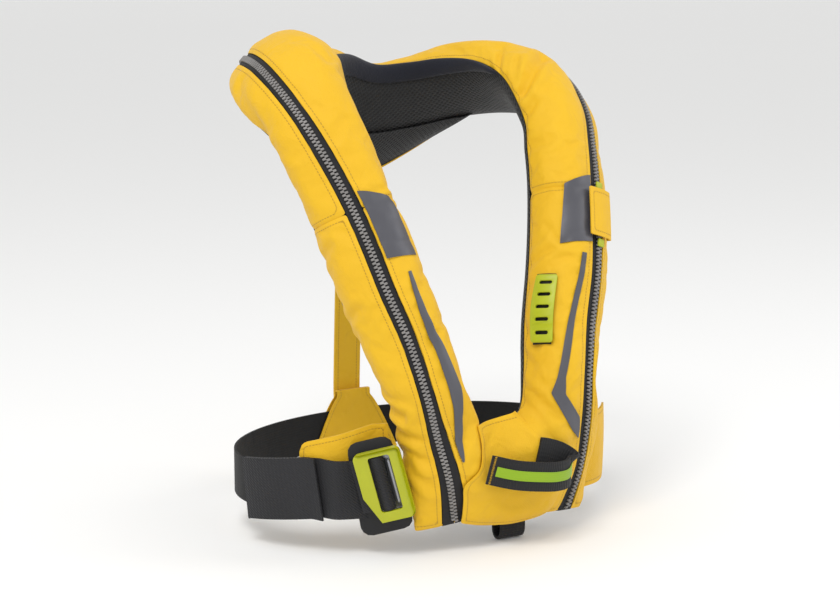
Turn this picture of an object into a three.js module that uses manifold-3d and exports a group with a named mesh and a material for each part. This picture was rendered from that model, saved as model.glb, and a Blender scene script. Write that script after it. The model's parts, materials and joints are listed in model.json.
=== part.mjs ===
// An inflatable life jacket, standing open in the shape that it has when it is worn.
// A horseshoe cover of fabric panels and a burst zip holds the folded bladder and its gas inflator. It goes
// round the neck and down the chest as two lobes. A back strap and a waist belt with a plate buckle hold it on.
// Millimetres. +X is the wearer's left, -Y is in front of the wearer, +Z is up. The origin is on the torso's
// axis, at the height of the jacket's lowest point.
import * as THREE from "three";
import { mergeVertices } from "three/addons/utils/BufferGeometryUtils.js";
import Module from "manifold-3d";

const wasm = await Module();
wasm.setup();

// ---- Driving dimensions ----

const GAP = 0.4; // clearance between neighbouring pieces
const FABRIC = 1.6; // cover cloth with its lining
const MESH = 3; // spacer mesh against the wearer
const ZIP_HALF = 3.5; // half the width of the closed zip's teeth
const TAPE_HALF = 9; // half the width of the zip with its tapes
const WAIST = { halfWidth: 175, halfDepth: 126.5 }; // the belt's oval round the torso
const BELT = { low: 32, high: 70, thick: 2.4 }; // elastic belt round the back
const WEBBING = { low: 33, high: 83, thick: 2.4 }; // adjustable webbing at the front
const SEAM = 7.3; // the station where the shoulder panels meet the chest panels
const BOTTOM = 14; // the station of the lower hem

// The horseshoe's stations on the wearer's left, from the middle of the back to the lower hem: the section's
// centre, the way that it faces, its half width and half thickness, and the zip's angle on it in degrees.
const LEFT_STATIONS = [
  { at: [0, 97, 369], out: [0, 0.95, 0.3], half: [37, 20], zip: 48 },
  { at: [42, 92, 374], out: [0.2, 0.88, 0.42], half: [37, 22], zip: 56 },
  { at: [79, 72, 384], out: [0.42, 0.62, 0.66], half: [40, 25], zip: 64 },
  { at: [105, 38, 387], out: [0.52, 0.25, 0.82], half: [45, 26], zip: 71 },
  { at: [120, 0, 379], out: [0.5, -0.2, 0.84], half: [46, 30], zip: 72 },
  { at: [121, -34, 352], out: [0.38, -0.62, 0.68], half: [38.5, 30], zip: 72 },
  { at: [116, -51, 324], out: [0.3, -0.8, 0.5], half: [38, 31], zip: 75 },
  { at: [110, -65.5, 296], out: [0.22, -0.92, 0.35], half: [37, 32.5], zip: 77.5 },
  { at: [101.5, -80, 260], out: [0.2, -0.95, 0.3], half: [37, 34.5], zip: 79 },
  { at: [92, -92, 222], out: [0.18, -0.96, 0.26], half: [36.5, 36], zip: 79 },
  { at: [78, -104.5, 179], out: [0.18, -0.96, 0.24], half: [34.5, 36], zip: 79 },
  { at: [66.5, -117, 139], out: [0.18, -0.97, 0.18], half: [33, 34], zip: 75 },
  { at: [64, -121.5, 102], out: [0.18, -0.98, 0.05], half: [43, 27], zip: 73 },
  { at: [46, -125, 68], out: [0.18, -0.98, 0], half: [57, 23], zip: 59 },
  { at: [42, -128, 22], out: [0.15, -0.98, -0.1], half: [53, 9], zip: 62 },
];
// The right side is the mirror image, but for its fuller shoulder, which rides higher, and its narrower foot,
// which has no inflator to cover.
const RIGHT_SHOULDER = [
  { at: [44, 94.5, 378], out: [0.2, 0.88, 0.42], half: [42.5, 25], zip: 55 },
  { at: [85.5, 76.5, 387], out: [0.42, 0.62, 0.66], half: [43.5, 31], zip: 62 },
  { at: [114.5, 44, 393.5], out: [0.52, 0.25, 0.82], half: [44.5, 36], zip: 69 },
  { at: [124.5, 2.5, 387], out: [0.5, -0.2, 0.84], half: [47.5, 36], zip: 69 },
  { at: [125, -32, 362], out: [0.38, -0.62, 0.68], half: [39.5, 32.5], zip: 68 },
  { at: [121, -50, 334.5], out: [0.3, -0.8, 0.5], half: [38, 31], zip: 75 },
];
const RIGHT_FOOT = [
  { at: [55, -119.5, 102], out: [0.25, -0.97, 0.05], half: [34, 28], zip: 80 },
  { at: [50, -124, 66], out: [0.2, -0.97, 0], half: [35, 23], zip: 85 },
  { at: [45, -128, 26], out: [0.15, -0.98, -0.1], half: [35.5, 9], zip: 89 },
];

const COLOURS = {
  shell: 0xf2c320,
  mesh: 0x17181a,
  navy: 0x1c2233,
  webbing: 0x2e2f36,
  elastic: 0x161618,
  reflective: 0x6b6b70,
  lime: 0xb5cc18,
  limePlate: 0xb4c400,
  zip: 0x8b8b8e,
  zipTape: 0x2b2d33,
  steel: 0x9a9da0,
  rubber: 0x17181b,
  bladder: 0xc9d420,
  red: 0xb5261c,
  white: 0xe4e4df,
};

// ---- Shared geometry ----

const V = (x, y, z) => new THREE.Vector3(x, y, z);
const degrees = THREE.MathUtils.degToRad;

function steps(from, to, count) {
  return Array.from({ length: count + 1 }, (_, i) => from + ((to - from) * i) / count);
}

// A closed geometry with its faces turned outwards.
function closed(positions, index) {
  let volume = 0;
  const [a, b, c] = [V(), V(), V()];
  for (let i = 0; i < index.length; i += 3) {
    a.fromArray(positions, index[i] * 3);
    b.fromArray(positions, index[i + 1] * 3);
    c.fromArray(positions, index[i + 2] * 3);
    volume += a.dot(b.cross(c));
  }
  if (volume < 0)
    for (let i = 0; i < index.length; i += 3) [index[i + 1], index[i + 2]] = [index[i + 2], index[i + 1]];
  const geometry = new THREE.BufferGeometry();
  geometry.setAttribute("position", new THREE.Float32BufferAttribute(positions, 3));
  geometry.setIndex(index);
  return geometry;
}

// A sheet of even or changing thickness on a surface: point(u, v, offset) gives its places, and low and high
// are the offsets of its two faces, as numbers or as functions of u and v.
function slab(point, us, vs, low, high) {
  const [rows, columns] = [us.length, vs.length];
  const positions = [];
  for (const face of [low, high])
    for (const u of us)
      for (const v of vs) {
        const offset = typeof face === "function" ? face(u, v) : face;
        positions.push(...point(u, v, offset).toArray());
      }
  const index = [];
  const quad = (a, b, c, d) => index.push(a, b, c, a, c, d);
  const at = (face, i, j) => (face * rows + i) * columns + j;
  const [lastRow, lastColumn] = [rows - 1, columns - 1];
  for (let i = 0; i < lastRow; i++) {
    for (let j = 0; j < lastColumn; j++) {
      quad(at(1, i, j), at(1, i + 1, j), at(1, i + 1, j + 1), at(1, i, j + 1));
      quad(at(0, i, j), at(0, i, j + 1), at(0, i + 1, j + 1), at(0, i + 1, j));
    }
    quad(at(0, i, 0), at(0, i + 1, 0), at(1, i + 1, 0), at(1, i, 0));
    quad(at(1, i, lastColumn), at(1, i + 1, lastColumn), at(0, i + 1, lastColumn), at(0, i, lastColumn));
  }
  for (let j = 0; j < lastColumn; j++) {
    quad(at(1, 0, j), at(1, 0, j + 1), at(0, 0, j + 1), at(0, 0, j));
    quad(at(0, lastRow, j), at(0, lastRow, j + 1), at(1, lastRow, j + 1), at(1, lastRow, j));
  }
  return closed(positions, index);
}

// A solid through a row of closed sections, each with the same number of points, with flat ends.
function loft(rings) {
  const count = rings[0].length;
  const positions = rings.flat().flatMap((p) => p.toArray());
  const index = [];
  for (let r = 0; r < rings.length - 1; r++)
    for (let i = 0; i < count; i++) {
      const [a, b] = [r * count + i, r * count + ((i + 1) % count)];
      index.push(a, b, b + count, a, b + count, a + count);
    }
  for (const [first, flip] of [[0, false], [(rings.length - 1) * count, true]]) {
    const middle = positions.length / 3;
    const ring = rings[flip ? rings.length - 1 : 0];
    const centre = ring.reduce((sum, p) => sum.add(p), V(0, 0, 0)).divideScalar(count);
    positions.push(...centre.toArray());
    for (let i = 0; i < count; i++) {
      const [a, b] = [first + i, first + ((i + 1) % count)];
      if (flip) index.push(a, b, middle);
      else index.push(b, a, middle);
    }
  }
  return closed(positions, index);
}

const group = new THREE.Group();

function add(name, geometry, colour, roughness = 0.8, metalness = 0) {
  const material = new THREE.MeshStandardMaterial({ color: colour, roughness, metalness });
  const mesh = new THREE.Mesh(geometry, material);
  mesh.name = name;
  group.add(mesh);
  return mesh;
}

function toSolid(geometry) {
  const bare = geometry.clone();
  bare.deleteAttribute("normal");
  bare.deleteAttribute("uv");
  const merged = mergeVertices(bare, 1e-4);
  return new wasm.Manifold(
    new wasm.Mesh({
      numProp: 3,
      vertProperties: new Float32Array(merged.attributes.position.array),
      triVerts: new Uint32Array(merged.index.array),
    }),
  );
}

function fromSolid(solid) {
  const mesh = solid.getMesh();
  const geometry = new THREE.BufferGeometry();
  geometry.setAttribute("position", new THREE.BufferAttribute(mesh.vertProperties, 3));
  geometry.setIndex(new THREE.BufferAttribute(mesh.triVerts, 1));
  return geometry;
}

const union = (first, ...rest) => fromSolid(rest.reduce((sum, g) => sum.add(toSolid(g)), toSolid(first)));
const cut = (body, ...tools) => {
  return fromSolid(tools.reduce((left, g) => left.subtract(toSolid(g)), toSolid(body)));
};

// ---- The horseshoe's surface ----

const mirrored = ({ at, out, half, zip }) => {
  return { at: [-at[0], at[1], at[2]], out: [-out[0], out[1], out[2]], half, zip };
};
const RIGHT_LOBE = [...RIGHT_SHOULDER, ...LEFT_STATIONS.slice(7, BOTTOM - 2), ...RIGHT_FOOT];
const RIGHT_STATIONS = RIGHT_LOBE.map(mirrored).reverse();
const STATIONS = [...RIGHT_STATIONS, ...LEFT_STATIONS];
const through = (pick) => {
  const places = STATIONS.map((station) => V(...pick(station)));
  return new THREE.CatmullRomCurve3(places, false, "catmullrom");
};
const centreLine = through((station) => station.at);
const facing = through((station) => station.out);
const sizes = through((station) => [...station.half, station.zip]);

// The frame of the section at station s, which runs from -BOTTOM at the right hem to BOTTOM at the left hem.
function section(s) {
  const place = (station) => THREE.MathUtils.clamp((station + BOTTOM) / (2 * BOTTOM), 0, 1);
  const t = place(s);
  const along = centreLine.getPoint(place(s + 0.9)).sub(centreLine.getPoint(place(s - 0.9))).normalize();
  const out = facing.getPoint(t);
  out.addScaledVector(along, -out.dot(along)).normalize();
  const side = V().crossVectors(out, along);
  const size = sizes.getPoint(t);
  return { centre: centreLine.getPoint(t), along, out, side, width: size.x, thick: size.y, zip: size.z };
}

const BODY_SIDE = { chest: 0.7, hem: 0.5 }; // how much flatter the side against the wearer is than the front
const SQUARENESS = 0.86; // exponent that fills the section's corners

// A place on the cover: angle 0 is the edge away from the neck, 90 the front, 180 the neck edge.
function onCover(s, angle, offset) {
  const { centre, out, side, width, thick } = section(s);
  const a = degrees(angle);
  const round = (x) => Math.sign(x) * Math.abs(x) ** SQUARENESS;
  const lowness = THREE.MathUtils.clamp(Math.abs(s), 10.5, 12);
  const flat = THREE.MathUtils.mapLinear(lowness, 10.5, 12, BODY_SIDE.chest, BODY_SIDE.hem);
  const depth = Math.sin(a) < 0 ? thick * flat : thick;
  return centre
    .clone()
    .addScaledVector(side, (width + offset) * round(Math.cos(a)))
    .addScaledVector(out, (depth + offset) * round(Math.sin(a)));
}

// Degrees on the section at station s for a length round it.
function spread(s, length) {
  const { width, thick } = section(s);
  return THREE.MathUtils.radToDeg((length * 2) / (width + thick));
}

// A place beside the zip: across is the distance from the zip's middle, positive towards the neck.
const besideZip = (s, across, offset) => onCover(s, section(s).zip + spread(s, across), offset);

const NECK_EDGE = 196; // where the front panels meet the mesh lining, in degrees on the section
const OUTER_EDGE = -24; // where the side panels meet it

// A panel between two angles, each a number or a function of the station.
function panel(from, to, low, high, lowOffset, highOffset, rows, columns) {
  const value = (angle, s) => (typeof angle === "function" ? angle(s) : angle);
  const point = (s, share, offset) => {
    const angle = THREE.MathUtils.lerp(value(low, s), value(high, s), share);
    return onCover(s, angle, offset);
  };
  const stations = Array.isArray(rows) ? rows : steps(from, to, rows);
  return slab(point, stations, steps(0, 1, columns), lowOffset, highOffset);
}

const zipEdge = (across) => (s) => section(s).zip + spread(s, across);
const JOIN = 0.012; // half the gap at a seam between panels, in stations
const REACHES = {
  right: [-BOTTOM, -SEAM - JOIN, 16],
  collar: [-SEAM + JOIN, SEAM - JOIN, 30],
  left: [SEAM + JOIN, BOTTOM, 16],
};

function addCover() {
  for (const [name, [from, to, rows]] of Object.entries(REACHES)) {
    const neck = panel(from, to, zipEdge(TAPE_HALF + GAP), NECK_EDGE - 1, -FABRIC, 0, rows, 7);
    const side = panel(from, to, OUTER_EDGE + 0.4, zipEdge(-TAPE_HALF - GAP), -FABRIC, 0, rows, 5);
    const lining = panel(from, to, NECK_EDGE + 1, OUTER_EDGE + 360 - 0.4, -MESH, 0, rows, 6);
    add(name + "_front_panel", neck, COLOURS.shell);
    add(name + "_side_panel", side, COLOURS.shell);
    add(name + "_mesh_lining", lining, COLOURS.mesh, 0.95);
  }
  for (const [name, s] of [["right_hem", -BOTTOM + 0.06], ["left_hem", BOTTOM - 0.06]]) {
    const ring = (at) => steps(0, 350, 35).map((angle) => onCover(at, angle, -MESH - 1));
    add(name, loft([ring(s), ring(s - Math.sign(s) * 0.04)]), COLOURS.shell);
  }
}

// The zip runs round the whole horseshoe. It bursts open under the tab when the bladder fills.
function addZip() {
  const rows = Object.values(REACHES).flatMap(([from, to, count]) => steps(from, to, count));
  const strip = (near, far, low, high) => panel(0, 0, zipEdge(near), zipEdge(far), low, high, rows, 1);
  add("zip_tape_neck_side", strip(ZIP_HALF + GAP, TAPE_HALF, -1.5, -0.3), COLOURS.zipTape);
  add("zip_tape_outer_side", strip(-TAPE_HALF, -ZIP_HALF - GAP, -1.5, -0.3), COLOURS.zipTape);
  add("zip_teeth", strip(-ZIP_HALF, ZIP_HALF, -1.2, 1.2), COLOURS.zip, 0.5);
}

// A rectangular piece with softened edges, laid on the cover beside the zip.
const patch = (from, to, near, far, low, high, rows = 4, columns = 4) =>
  slab(besideZip, steps(from, to, rows), steps(near, far, columns), low, high);

function addZipFittings() {
  add("zip_slider", patch(7.72, 7.92, -4.6, 4.6, 1.8, 4.6, 2, 3), COLOURS.steel, 0.35, 0.8);
  add("burst_tab", patch(7.26, 8.3, -11, 11, 5.2, 6.6, 8, 6), COLOURS.shell);
}

// The four-cornered reflective patches and the kinked stripes below them, by station and distance from the zip.
const TRIM_BASE = 1.1; // the trim stands this far off the cover, so that it is clear of its facets
const STRIPES = {
  right: [
    [8.8, 19, 22],
    [9.6, 14.5, 21.5],
    [10.3, 15.5, 25],
    [11.05, 16, 28],
    [11.4, 15.5, 25.5],
    [12.1, 10, 17],
    [12.65, 10, 11.5],
  ],
  left: [
    [8.7, 13, 17],
    [9.2, 14, 19],
    [9.8, 17, 22.5],
    [10.5, 21, 28],
    [11.1, 24.5, 32],
    [11.45, 23, 36],
    [11.9, 10, 24],
    [12.35, 10, 11.5],
  ],
};

function addReflectiveTrim() {
  // The ends of a patch slant away from the zip.
  const corner = (s, share) => {
    const slant = 0.3 * share - 0.2 * Math.max(s - 7.6, 0) * share;
    return [s + slant, 9.9 + share * (22 + (s - 7) * 4)];
  };
  for (const [side, sign] of [["right", -1], ["left", 1]]) {
    const place = (s, share, offset) => {
      const [at, across] = corner(s, share);
      return besideZip(sign * at, across, offset);
    };
    const square = slab(place, steps(6.95, 8.42, 7), steps(0, 1, 3), TRIM_BASE, TRIM_BASE + 0.6);
    add("reflective_patch_" + side, square, COLOURS.reflective, 0.45);
    const rows = STRIPES[side];
    const stripe = (i, share, offset) => {
      const k = Math.min(Math.floor(i), rows.length - 2);
      const [s, near, far] = rows[k].map((value, j) => THREE.MathUtils.lerp(value, rows[k + 1][j], i - k));
      return besideZip(sign * s, near + (far - near) * share, offset);
    };
    const at = steps(0, rows.length - 1, (rows.length - 1) * 2);
    const strip = slab(stripe, at, [0, 0.5, 1], TRIM_BASE, TRIM_BASE + 0.6);
    add("reflective_stripe_" + side, strip, COLOURS.reflective, 0.45);
  }
}

// ---- Inside the cover ----

// A place inside the cover, by its distances from the section's centre: away from the neck, and forwards.
function inside(s, away, forward) {
  const { centre, out, side } = section(s);
  return centre.clone().addScaledVector(side, away).addScaledVector(out, forward);
}

// How far the bladder may reach away from the neck: the inflator lies beside it in the left lobe, and the oral
// tube and the whistle in the right.
function bladderLimit(s) {
  const { width } = section(s);
  if (s > 0) return THREE.MathUtils.lerp(width, -8, THREE.MathUtils.smoothstep(s, 9.2, 9.8));
  return width - 19 * THREE.MathUtils.smoothstep(-s, 8.4, 8.9);
}

// The folded bladder fills the rest of the cover.
function addBladder() {
  const inset = 5.5;
  const ring = (s) => {
    const { centre, side } = section(s);
    const limit = bladderLimit(s);
    return steps(0, 345, 23).map((angle) => {
      const p = onCover(s, angle, -inset);
      const reach = p.clone().sub(centre).dot(side);
      return reach > limit ? p.addScaledVector(side, limit - reach) : p;
    });
  };
  add("bladder", loft(steps(-13.2, 11.6, 56).map(ring)), COLOURS.bladder, 0.6);
}

// A round rod inside the cover, along the lobe.
function rod(from, to, away, forward, radius, rows, parts) {
  const ring = (s) => {
    const { out, side } = section(s);
    const middle = inside(s, section(s).width - away, forward);
    return steps(0, 360 - 360 / parts, parts - 1).map((angle) =>
      middle
        .clone()
        .addScaledVector(side, radius * Math.cos(degrees(angle)))
        .addScaledVector(out, radius * Math.sin(degrees(angle))));
  };
  return loft(steps(from, to, rows).map(ring));
}

function addOralTube() {
  add("oral_tube", rod(-12.6, -11.1, 13, 1, 4, 10, 12), COLOURS.rubber, 0.6);
  add("oral_valve", rod(-11.08, -10.93, 13, 1, 3.2, 2, 12), COLOURS.white, 0.5);
  add("oral_cap", rod(-10.91, -10.62, 13, 1, 4.6, 2, 14), COLOURS.lime, 0.5);
  add("whistle", rod(-9.9, -9.1, 13, 0, 4.2, 3, 10), COLOURS.limePlate, 0.4);
  add("whistle_cord", rod(-11.2, -9.95, 13, -6.5, 0.9, 8, 6), COLOURS.white);
}

const CYLINDER = { foot: V(66, -125.5, 88), head: V(87, -105.5, 186), radius: 12.5 };
const cylinderAxis = CYLINDER.head.clone().sub(CYLINDER.foot).normalize();

// Turns a part that is built along +Z to lie along the gas cylinder, with its foot at the cylinder's foot.
function alongCylinder(geometry, down = 0) {
  const turn = new THREE.Quaternion().setFromUnitVectors(V(0, 0, 1), cylinderAxis);
  const foot = CYLINDER.foot.clone().addScaledVector(cylinderAxis, -down);
  return geometry.applyQuaternion(turn).translate(foot.x, foot.y, foot.z);
}

const turned = (profile) => {
  const points = profile.map(([r, z]) => new THREE.Vector2(r, z));
  return new THREE.LatheGeometry(points, 24);
};
const upright = (geometry) => geometry.rotateX(Math.PI / 2);
const block = (size, at) => new THREE.BoxGeometry(...size).translate(...at);

function addInflator() {
  const r = CYLINDER.radius;
  const tank = [[0, 0], [5, 0], [5, 6], [9, 10], [r, 16], [r, 88], [r - 2, 94], [r - 7, 98], [0, 98]];
  add("gas_cylinder", alongCylinder(upright(turned(tank)), 0.4), COLOURS.steel, 0.35, 0.85);
  add("inflator_body", alongCylinder(block([24, 15, 22], [0, 0, -12])), COLOURS.rubber, 0.5);
  const lid = turned([[0, -34], [6.5, -34], [6.5, -24], [0, -24]]);
  add("inflator_cap", alongCylinder(upright(lid)), COLOURS.lime, 0.5);
  const pin = (radius, length) => {
    return new THREE.CylinderGeometry(radius, radius, length, 16).translate(-15.5, 0, -4);
  };
  const lever = cut(block([5, 8, 26], [-15.5, 0, -14]), pin(1.5, 20));
  add("inflator_lever", alongCylinder(lever), COLOURS.red, 0.5);
  add("lever_pin", alongCylinder(pin(1.2, 12)), COLOURS.steel, 0.35, 0.85);
  const cord = new THREE.CylinderGeometry(1, 1, 10, 8).rotateX(Math.PI / 2);
  add("pull_cord", cord.translate(46.5, -131, 54.5), COLOURS.red);
  add("pull_handle", block([24, 5, 10], [46.5, -131, 44]), COLOURS.red, 0.5);
}

// ---- The back ----

const FLEECE = { reach: 3.7, low: 199, narrow: 5, wide: 34 }; // its upper edge and its widths, in degrees

function addNeck() {
  const { reach, low, narrow, wide } = FLEECE;
  const lowerEdge = (s) => low + narrow + wide * (1 - Math.abs(s / reach) ** 3);
  const fleece = panel(-reach, reach, low, lowerEdge, 1.2, 5, 22, 4);
  add("neck_fleece", fleece, COLOURS.navy, 0.98);
  const yoke = (s, share, offset) => {
    const top = onCover(s, -12, 2);
    const x = (s / 3.6) * 128;
    const away = (Math.abs(x) / 137) ** 1.25;
    const bottom = V(x, 121 - 26 * away, 294 + 77 * away);
    return top.lerp(bottom, share).add(V(0, offset, 0));
  };
  add("yoke_mesh", slab(yoke, steps(-2.9, 2.9, 18), steps(0, 1, 4), -0.6, 1.2), COLOURS.mesh, 0.95);
  add("yoke_cover", slab(yoke, steps(-2.9, 2.9, 18), [0.04, 0.25, 0.5, 0.75, 1], 1.6, 2.8), COLOURS.shell);
}

// ---- The waist ----

// A place on the waist's oval: 0 degrees is the front, positive towards the wearer's left.
const FRONT_DEPTH = 113; // the strap behind the lobes lies flatter than the rest of the oval
function onWaist(angle, height, offset) {
  const share = THREE.MathUtils.smoothstep(Math.abs(angle), 32, 52);
  const depth = THREE.MathUtils.lerp(FRONT_DEPTH, WAIST.halfDepth, share);
  const a = degrees(angle);
  return V((WAIST.halfWidth + offset) * Math.sin(a), -(depth + offset) * Math.cos(a), height);
}

// A band round the waist between two angles and two heights, each a number or a function of the angle.
function band(from, to, low, high, inner, outer, rows = 24, columns = 2) {
  const value = (height, angle) => (typeof height === "function" ? height(angle) : height);
  const point = (angle, share, offset) =>
    onWaist(angle, value(low, angle) * (1 - share) + value(high, angle) * share, offset);
  return slab(point, steps(from, to, rows), steps(0, 1, columns), inner, outer);
}

const STRAP = { half: 14, thick: 2.2 };
const SLEEVE = { top: 103, bottom: 29, wide: 47 };

function addBack() {
  const places = [V(0, 126, 306), V(-1, 127.5, 250), V(-2, 130, 180), V(-3, 131.5, 92)];
  const strapLine = new THREE.CatmullRomCurve3(places);
  const strap = (t, across, offset) => strapLine.getPoint(t).add(V(across, offset, 0));
  const sides = steps(-STRAP.half, STRAP.half, 2);
  const straight = slab(strap, steps(0, 1, 12), sides, 0, STRAP.thick);
  add("back_strap", straight, COLOURS.shell);
  const flare = (z) => 18 + (SLEEVE.wide - 18) * THREE.MathUtils.smoothstep(SLEEVE.top - z, 20, 74);
  const sleeve = (z, share, offset) => {
    const angle = 180 + share * THREE.MathUtils.radToDeg(flare(z) / WAIST.halfWidth);
    return onWaist(angle, z, offset);
  };
  const heights = steps(SLEEVE.top - 14, SLEEVE.bottom, 10);
  const outer = slab(sleeve, heights, steps(-1, 1, 10), -1.6, 4);
  const slot = band(150, 210, BELT.low - 1.5, BELT.high + 1.5, -0.4, BELT.thick + 0.4, 16);
  add("belt_sleeve", cut(outer, slot), COLOURS.shell);
}

function addBelt() {
  const elastic = band(30, 284, BELT.low, BELT.high, 0, BELT.thick, 56);
  add("rear_belt", elastic, COLOURS.elastic, 0.9);
  add("front_strap", band(-31, 29, BELT.low, BELT.high, 0, BELT.thick, 12), COLOURS.elastic, 0.9);
  const { low, high, thick } = WEBBING;
  const lift = (angle) => 3 + 11 * THREE.MathUtils.smoothstep(angle, -57, -45);
  const run = (angle, share, offset) => onWaist(angle, low + (high - low) * share, lift(angle) + offset);
  add("belt_webbing", slab(run, steps(-85, -46, 14), [0, 0.5, 1], 0, thick), COLOURS.webbing, 0.9);
  const fold = (share) => THREE.MathUtils.lerp(-85, -53, share);
  const tail = (share, height, offset) => {
    const angle = fold(share);
    return onWaist(angle, height, lift(angle) + thick + 0.8 + offset);
  };
  add("belt_tail", slab(tail, steps(0, 1, 12), [31, 45, 70, 84], 0, 4.6), COLOURS.webbing, 0.9);
}

// The wings are the fabric flaps that carry the belt's ends from the backs of the lobes.
function addWings() {
  const corner = (angle, end, radius) => {
    const away = (Math.abs(end - angle) * Math.PI * WAIST.halfWidth) / 180;
    const inFrom = THREE.MathUtils.clamp(away, 0, radius);
    return radius - Math.sqrt(radius ** 2 - (radius - inFrom) ** 2);
  };
  const left = band(38, 63, (a) => 27 + corner(a, 63, 16), (a) => 94 - corner(a, 63, 12), 3, 5.4, 16, 3);
  add("wing_left", left, COLOURS.shell);
  const slope = (angle) => THREE.MathUtils.mapLinear(angle, -36, -60, 111, 95);
  const top = (angle) => slope(angle) - corner(angle, -61, 8);
  const right = band(-61, -38, (a) => 27 + corner(a, -61, 8), top, 0, 2.4, 14, 3);
  add("wing_right", right, COLOURS.shell);
}

// ---- The buckle ----

// The buckle's own axes: x towards the jacket's middle, y up its slot, z out from the wearer.
const BUCKLE = new THREE.Matrix4().makeBasis(
  V(0.79, -0.56, 0.25).normalize(),
  V(-0.235, 0.1, 0.967).normalize(),
  V(-0.566, -0.823, -0.053).normalize(),
).setPosition(-109, -124, 65);
const PLATE = { wide: 40, high: 62, thick: 3, slotLeft: -8, slotRight: 10.5, slotLow: -22.5, slotHigh: 26 };

// An outline with rounded or cut corners, pushed out to a thickness from z.
function outlined(points, z, thick, hole) {
  const shape = new THREE.Shape(points.map(([x, y]) => new THREE.Vector2(x, y)));
  if (hole) shape.holes.push(new THREE.Path(hole.map(([x, y]) => new THREE.Vector2(x, y))));
  return new THREE.ExtrudeGeometry(shape, { depth: thick, bevelEnabled: false }).translate(0, 0, z);
}

function roundedBox(left, right, low, high, radius) {
  const corners = [
    [right - radius, high - radius, 0],
    [left + radius, high - radius, 90],
    [left + radius, low + radius, 180],
    [right - radius, low + radius, 270],
  ];
  return corners.flatMap(([x, y, start]) => {
    const turns = steps(start, start + 90, 4).map(degrees);
    return turns.map((a) => [x + radius * Math.cos(a), y + radius * Math.sin(a)]);
  });
}

const onBuckle = (geometry) => geometry.applyMatrix4(BUCKLE);

function addBuckle() {
  const { wide, high, thick, slotLeft, slotRight, slotLow, slotHigh } = PLATE;
  const [w, h] = [wide / 2, high / 2];
  const rim = roundedBox(-w, w, -h, h, 5).filter(([x, y]) => x > -w + 1 || y > -h + 30);
  const corner = [[-w, -h + 24], [-w + 9, -h + 3], [-w + 14, -h]];
  const outline = [...rim.filter(([x, y]) => !(x < -w + 14 && y < -h + 14))];
  const split = outline.findIndex(([x, y]) => y < -h + 6 && x > 0);
  outline.splice(split, 0, ...corner);
  const slot = roundedBox(slotLeft, slotRight, slotLow, slotHigh, 2.5).reverse();
  add("buckle_plate", onBuckle(outlined(outline, -thick / 2, thick, slot)), COLOURS.limePlate, 0.4);
  add("buckle_pad", onBuckle(outlined(roundedBox(-25, 14, -44, 38, 9), -14.5, 3)), COLOURS.rubber, 0.85);
  const hook = union(block([29, 50, 2], [1.5, 1, -9.4]), block([2, 38, 6], [8.2, 1, -5.9]));
  add("buckle_hook_plate", onBuckle(hook), COLOURS.steel, 0.4, 0.7);
  const line = [[-24, -6.6], [-17, -5.4], [-11, -4.6], [-6.5, -2.6], [-3, 0.4], [0.5, 0.2], [3.6, -3.4]];
  const path = new THREE.CatmullRomCurve3(line.map(([x, z]) => V(x, 0, z)));
  const turn = (t, y, offset) => {
    const along = path.getTangent(t);
    return path.getPoint(t).add(V(-along.z * offset, y, along.x * offset));
  };
  const webbing = slab(turn, steps(0, 1, 16), [-21.5, 25], -1.1, 1.1);
  add("buckle_webbing_turn", onBuckle(webbing), COLOURS.webbing, 0.9);
}

// ---- Loops and the ladder on the left lobe ----

const HARNESS = { half: 12.5, thick: 2.2, stripe: 4.2 };
const HARNESS_LINE = [
  V(-25, -154, 74),
  V(-5, -165, 69),
  V(15, -172, 66.5),
  V(33, -172, 64.5),
  V(47, -167, 65),
  V(53, -160, 70),
  V(45.5, -157, 76.5),
  V(32, -157, 82),
  V(23, -157, 84),
];
const harnessPath = new THREE.CatmullRomCurve3(HARNESS_LINE, false, "centripetal");

function harnessRibbon(half, from, to, low, high, rows) {
  const point = (t, across, offset) => {
    const along = harnessPath.getTangent(t);
    const up = V(0.06, 0.05, 1).addScaledVector(along, -along.z).normalize();
    const out = V().crossVectors(along, up).normalize();
    return harnessPath.getPoint(t).addScaledVector(up, across).addScaledVector(out, offset);
  };
  const { stripe } = HARNESS;
  const columns = half === stripe ? [-half, half] : [-half, -stripe, stripe, half];
  return slab(point, steps(from, to, rows), columns, low, high);
}

function addLoops() {
  const { half, thick, stripe } = HARNESS;
  add("harness_loop", harnessRibbon(half, 0, 1, -thick / 2, thick / 2, 30), COLOURS.webbing, 0.9);
  const line = harnessRibbon(stripe, 1 / 30, 0.7, thick / 2 + 0.4, thick / 2 + 0.9, 20);
  add("harness_loop_stripe", line, COLOURS.lime);
  const leg = [[-3.5, 2.2], [0, 1.2], [3.5, 2.2]];
  const hang = [[0, 26], [-5.6, 20], [-6.2, 8], ...leg, [6.2, 8], [5.6, 20], [2.2, 26]];
  const drop = new THREE.CatmullRomCurve3(hang.map(([y, z]) => V(0, y, z)));
  const loop = (t, x, offset) => {
    const along = drop.getTangent(t);
    return drop.getPoint(t).add(V(19 + x, -118 - along.z * offset, along.y * offset));
  };
  add("crotch_loop", slab(loop, steps(0, 1, 20), [-12.5, 12.5], -1.1, 1.1), COLOURS.webbing, 0.9);
}

const LADDER = { from: 9.22, to: 10.48, near: 38, far: 57, slots: 5, slot: [11, 3.2] };

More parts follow.
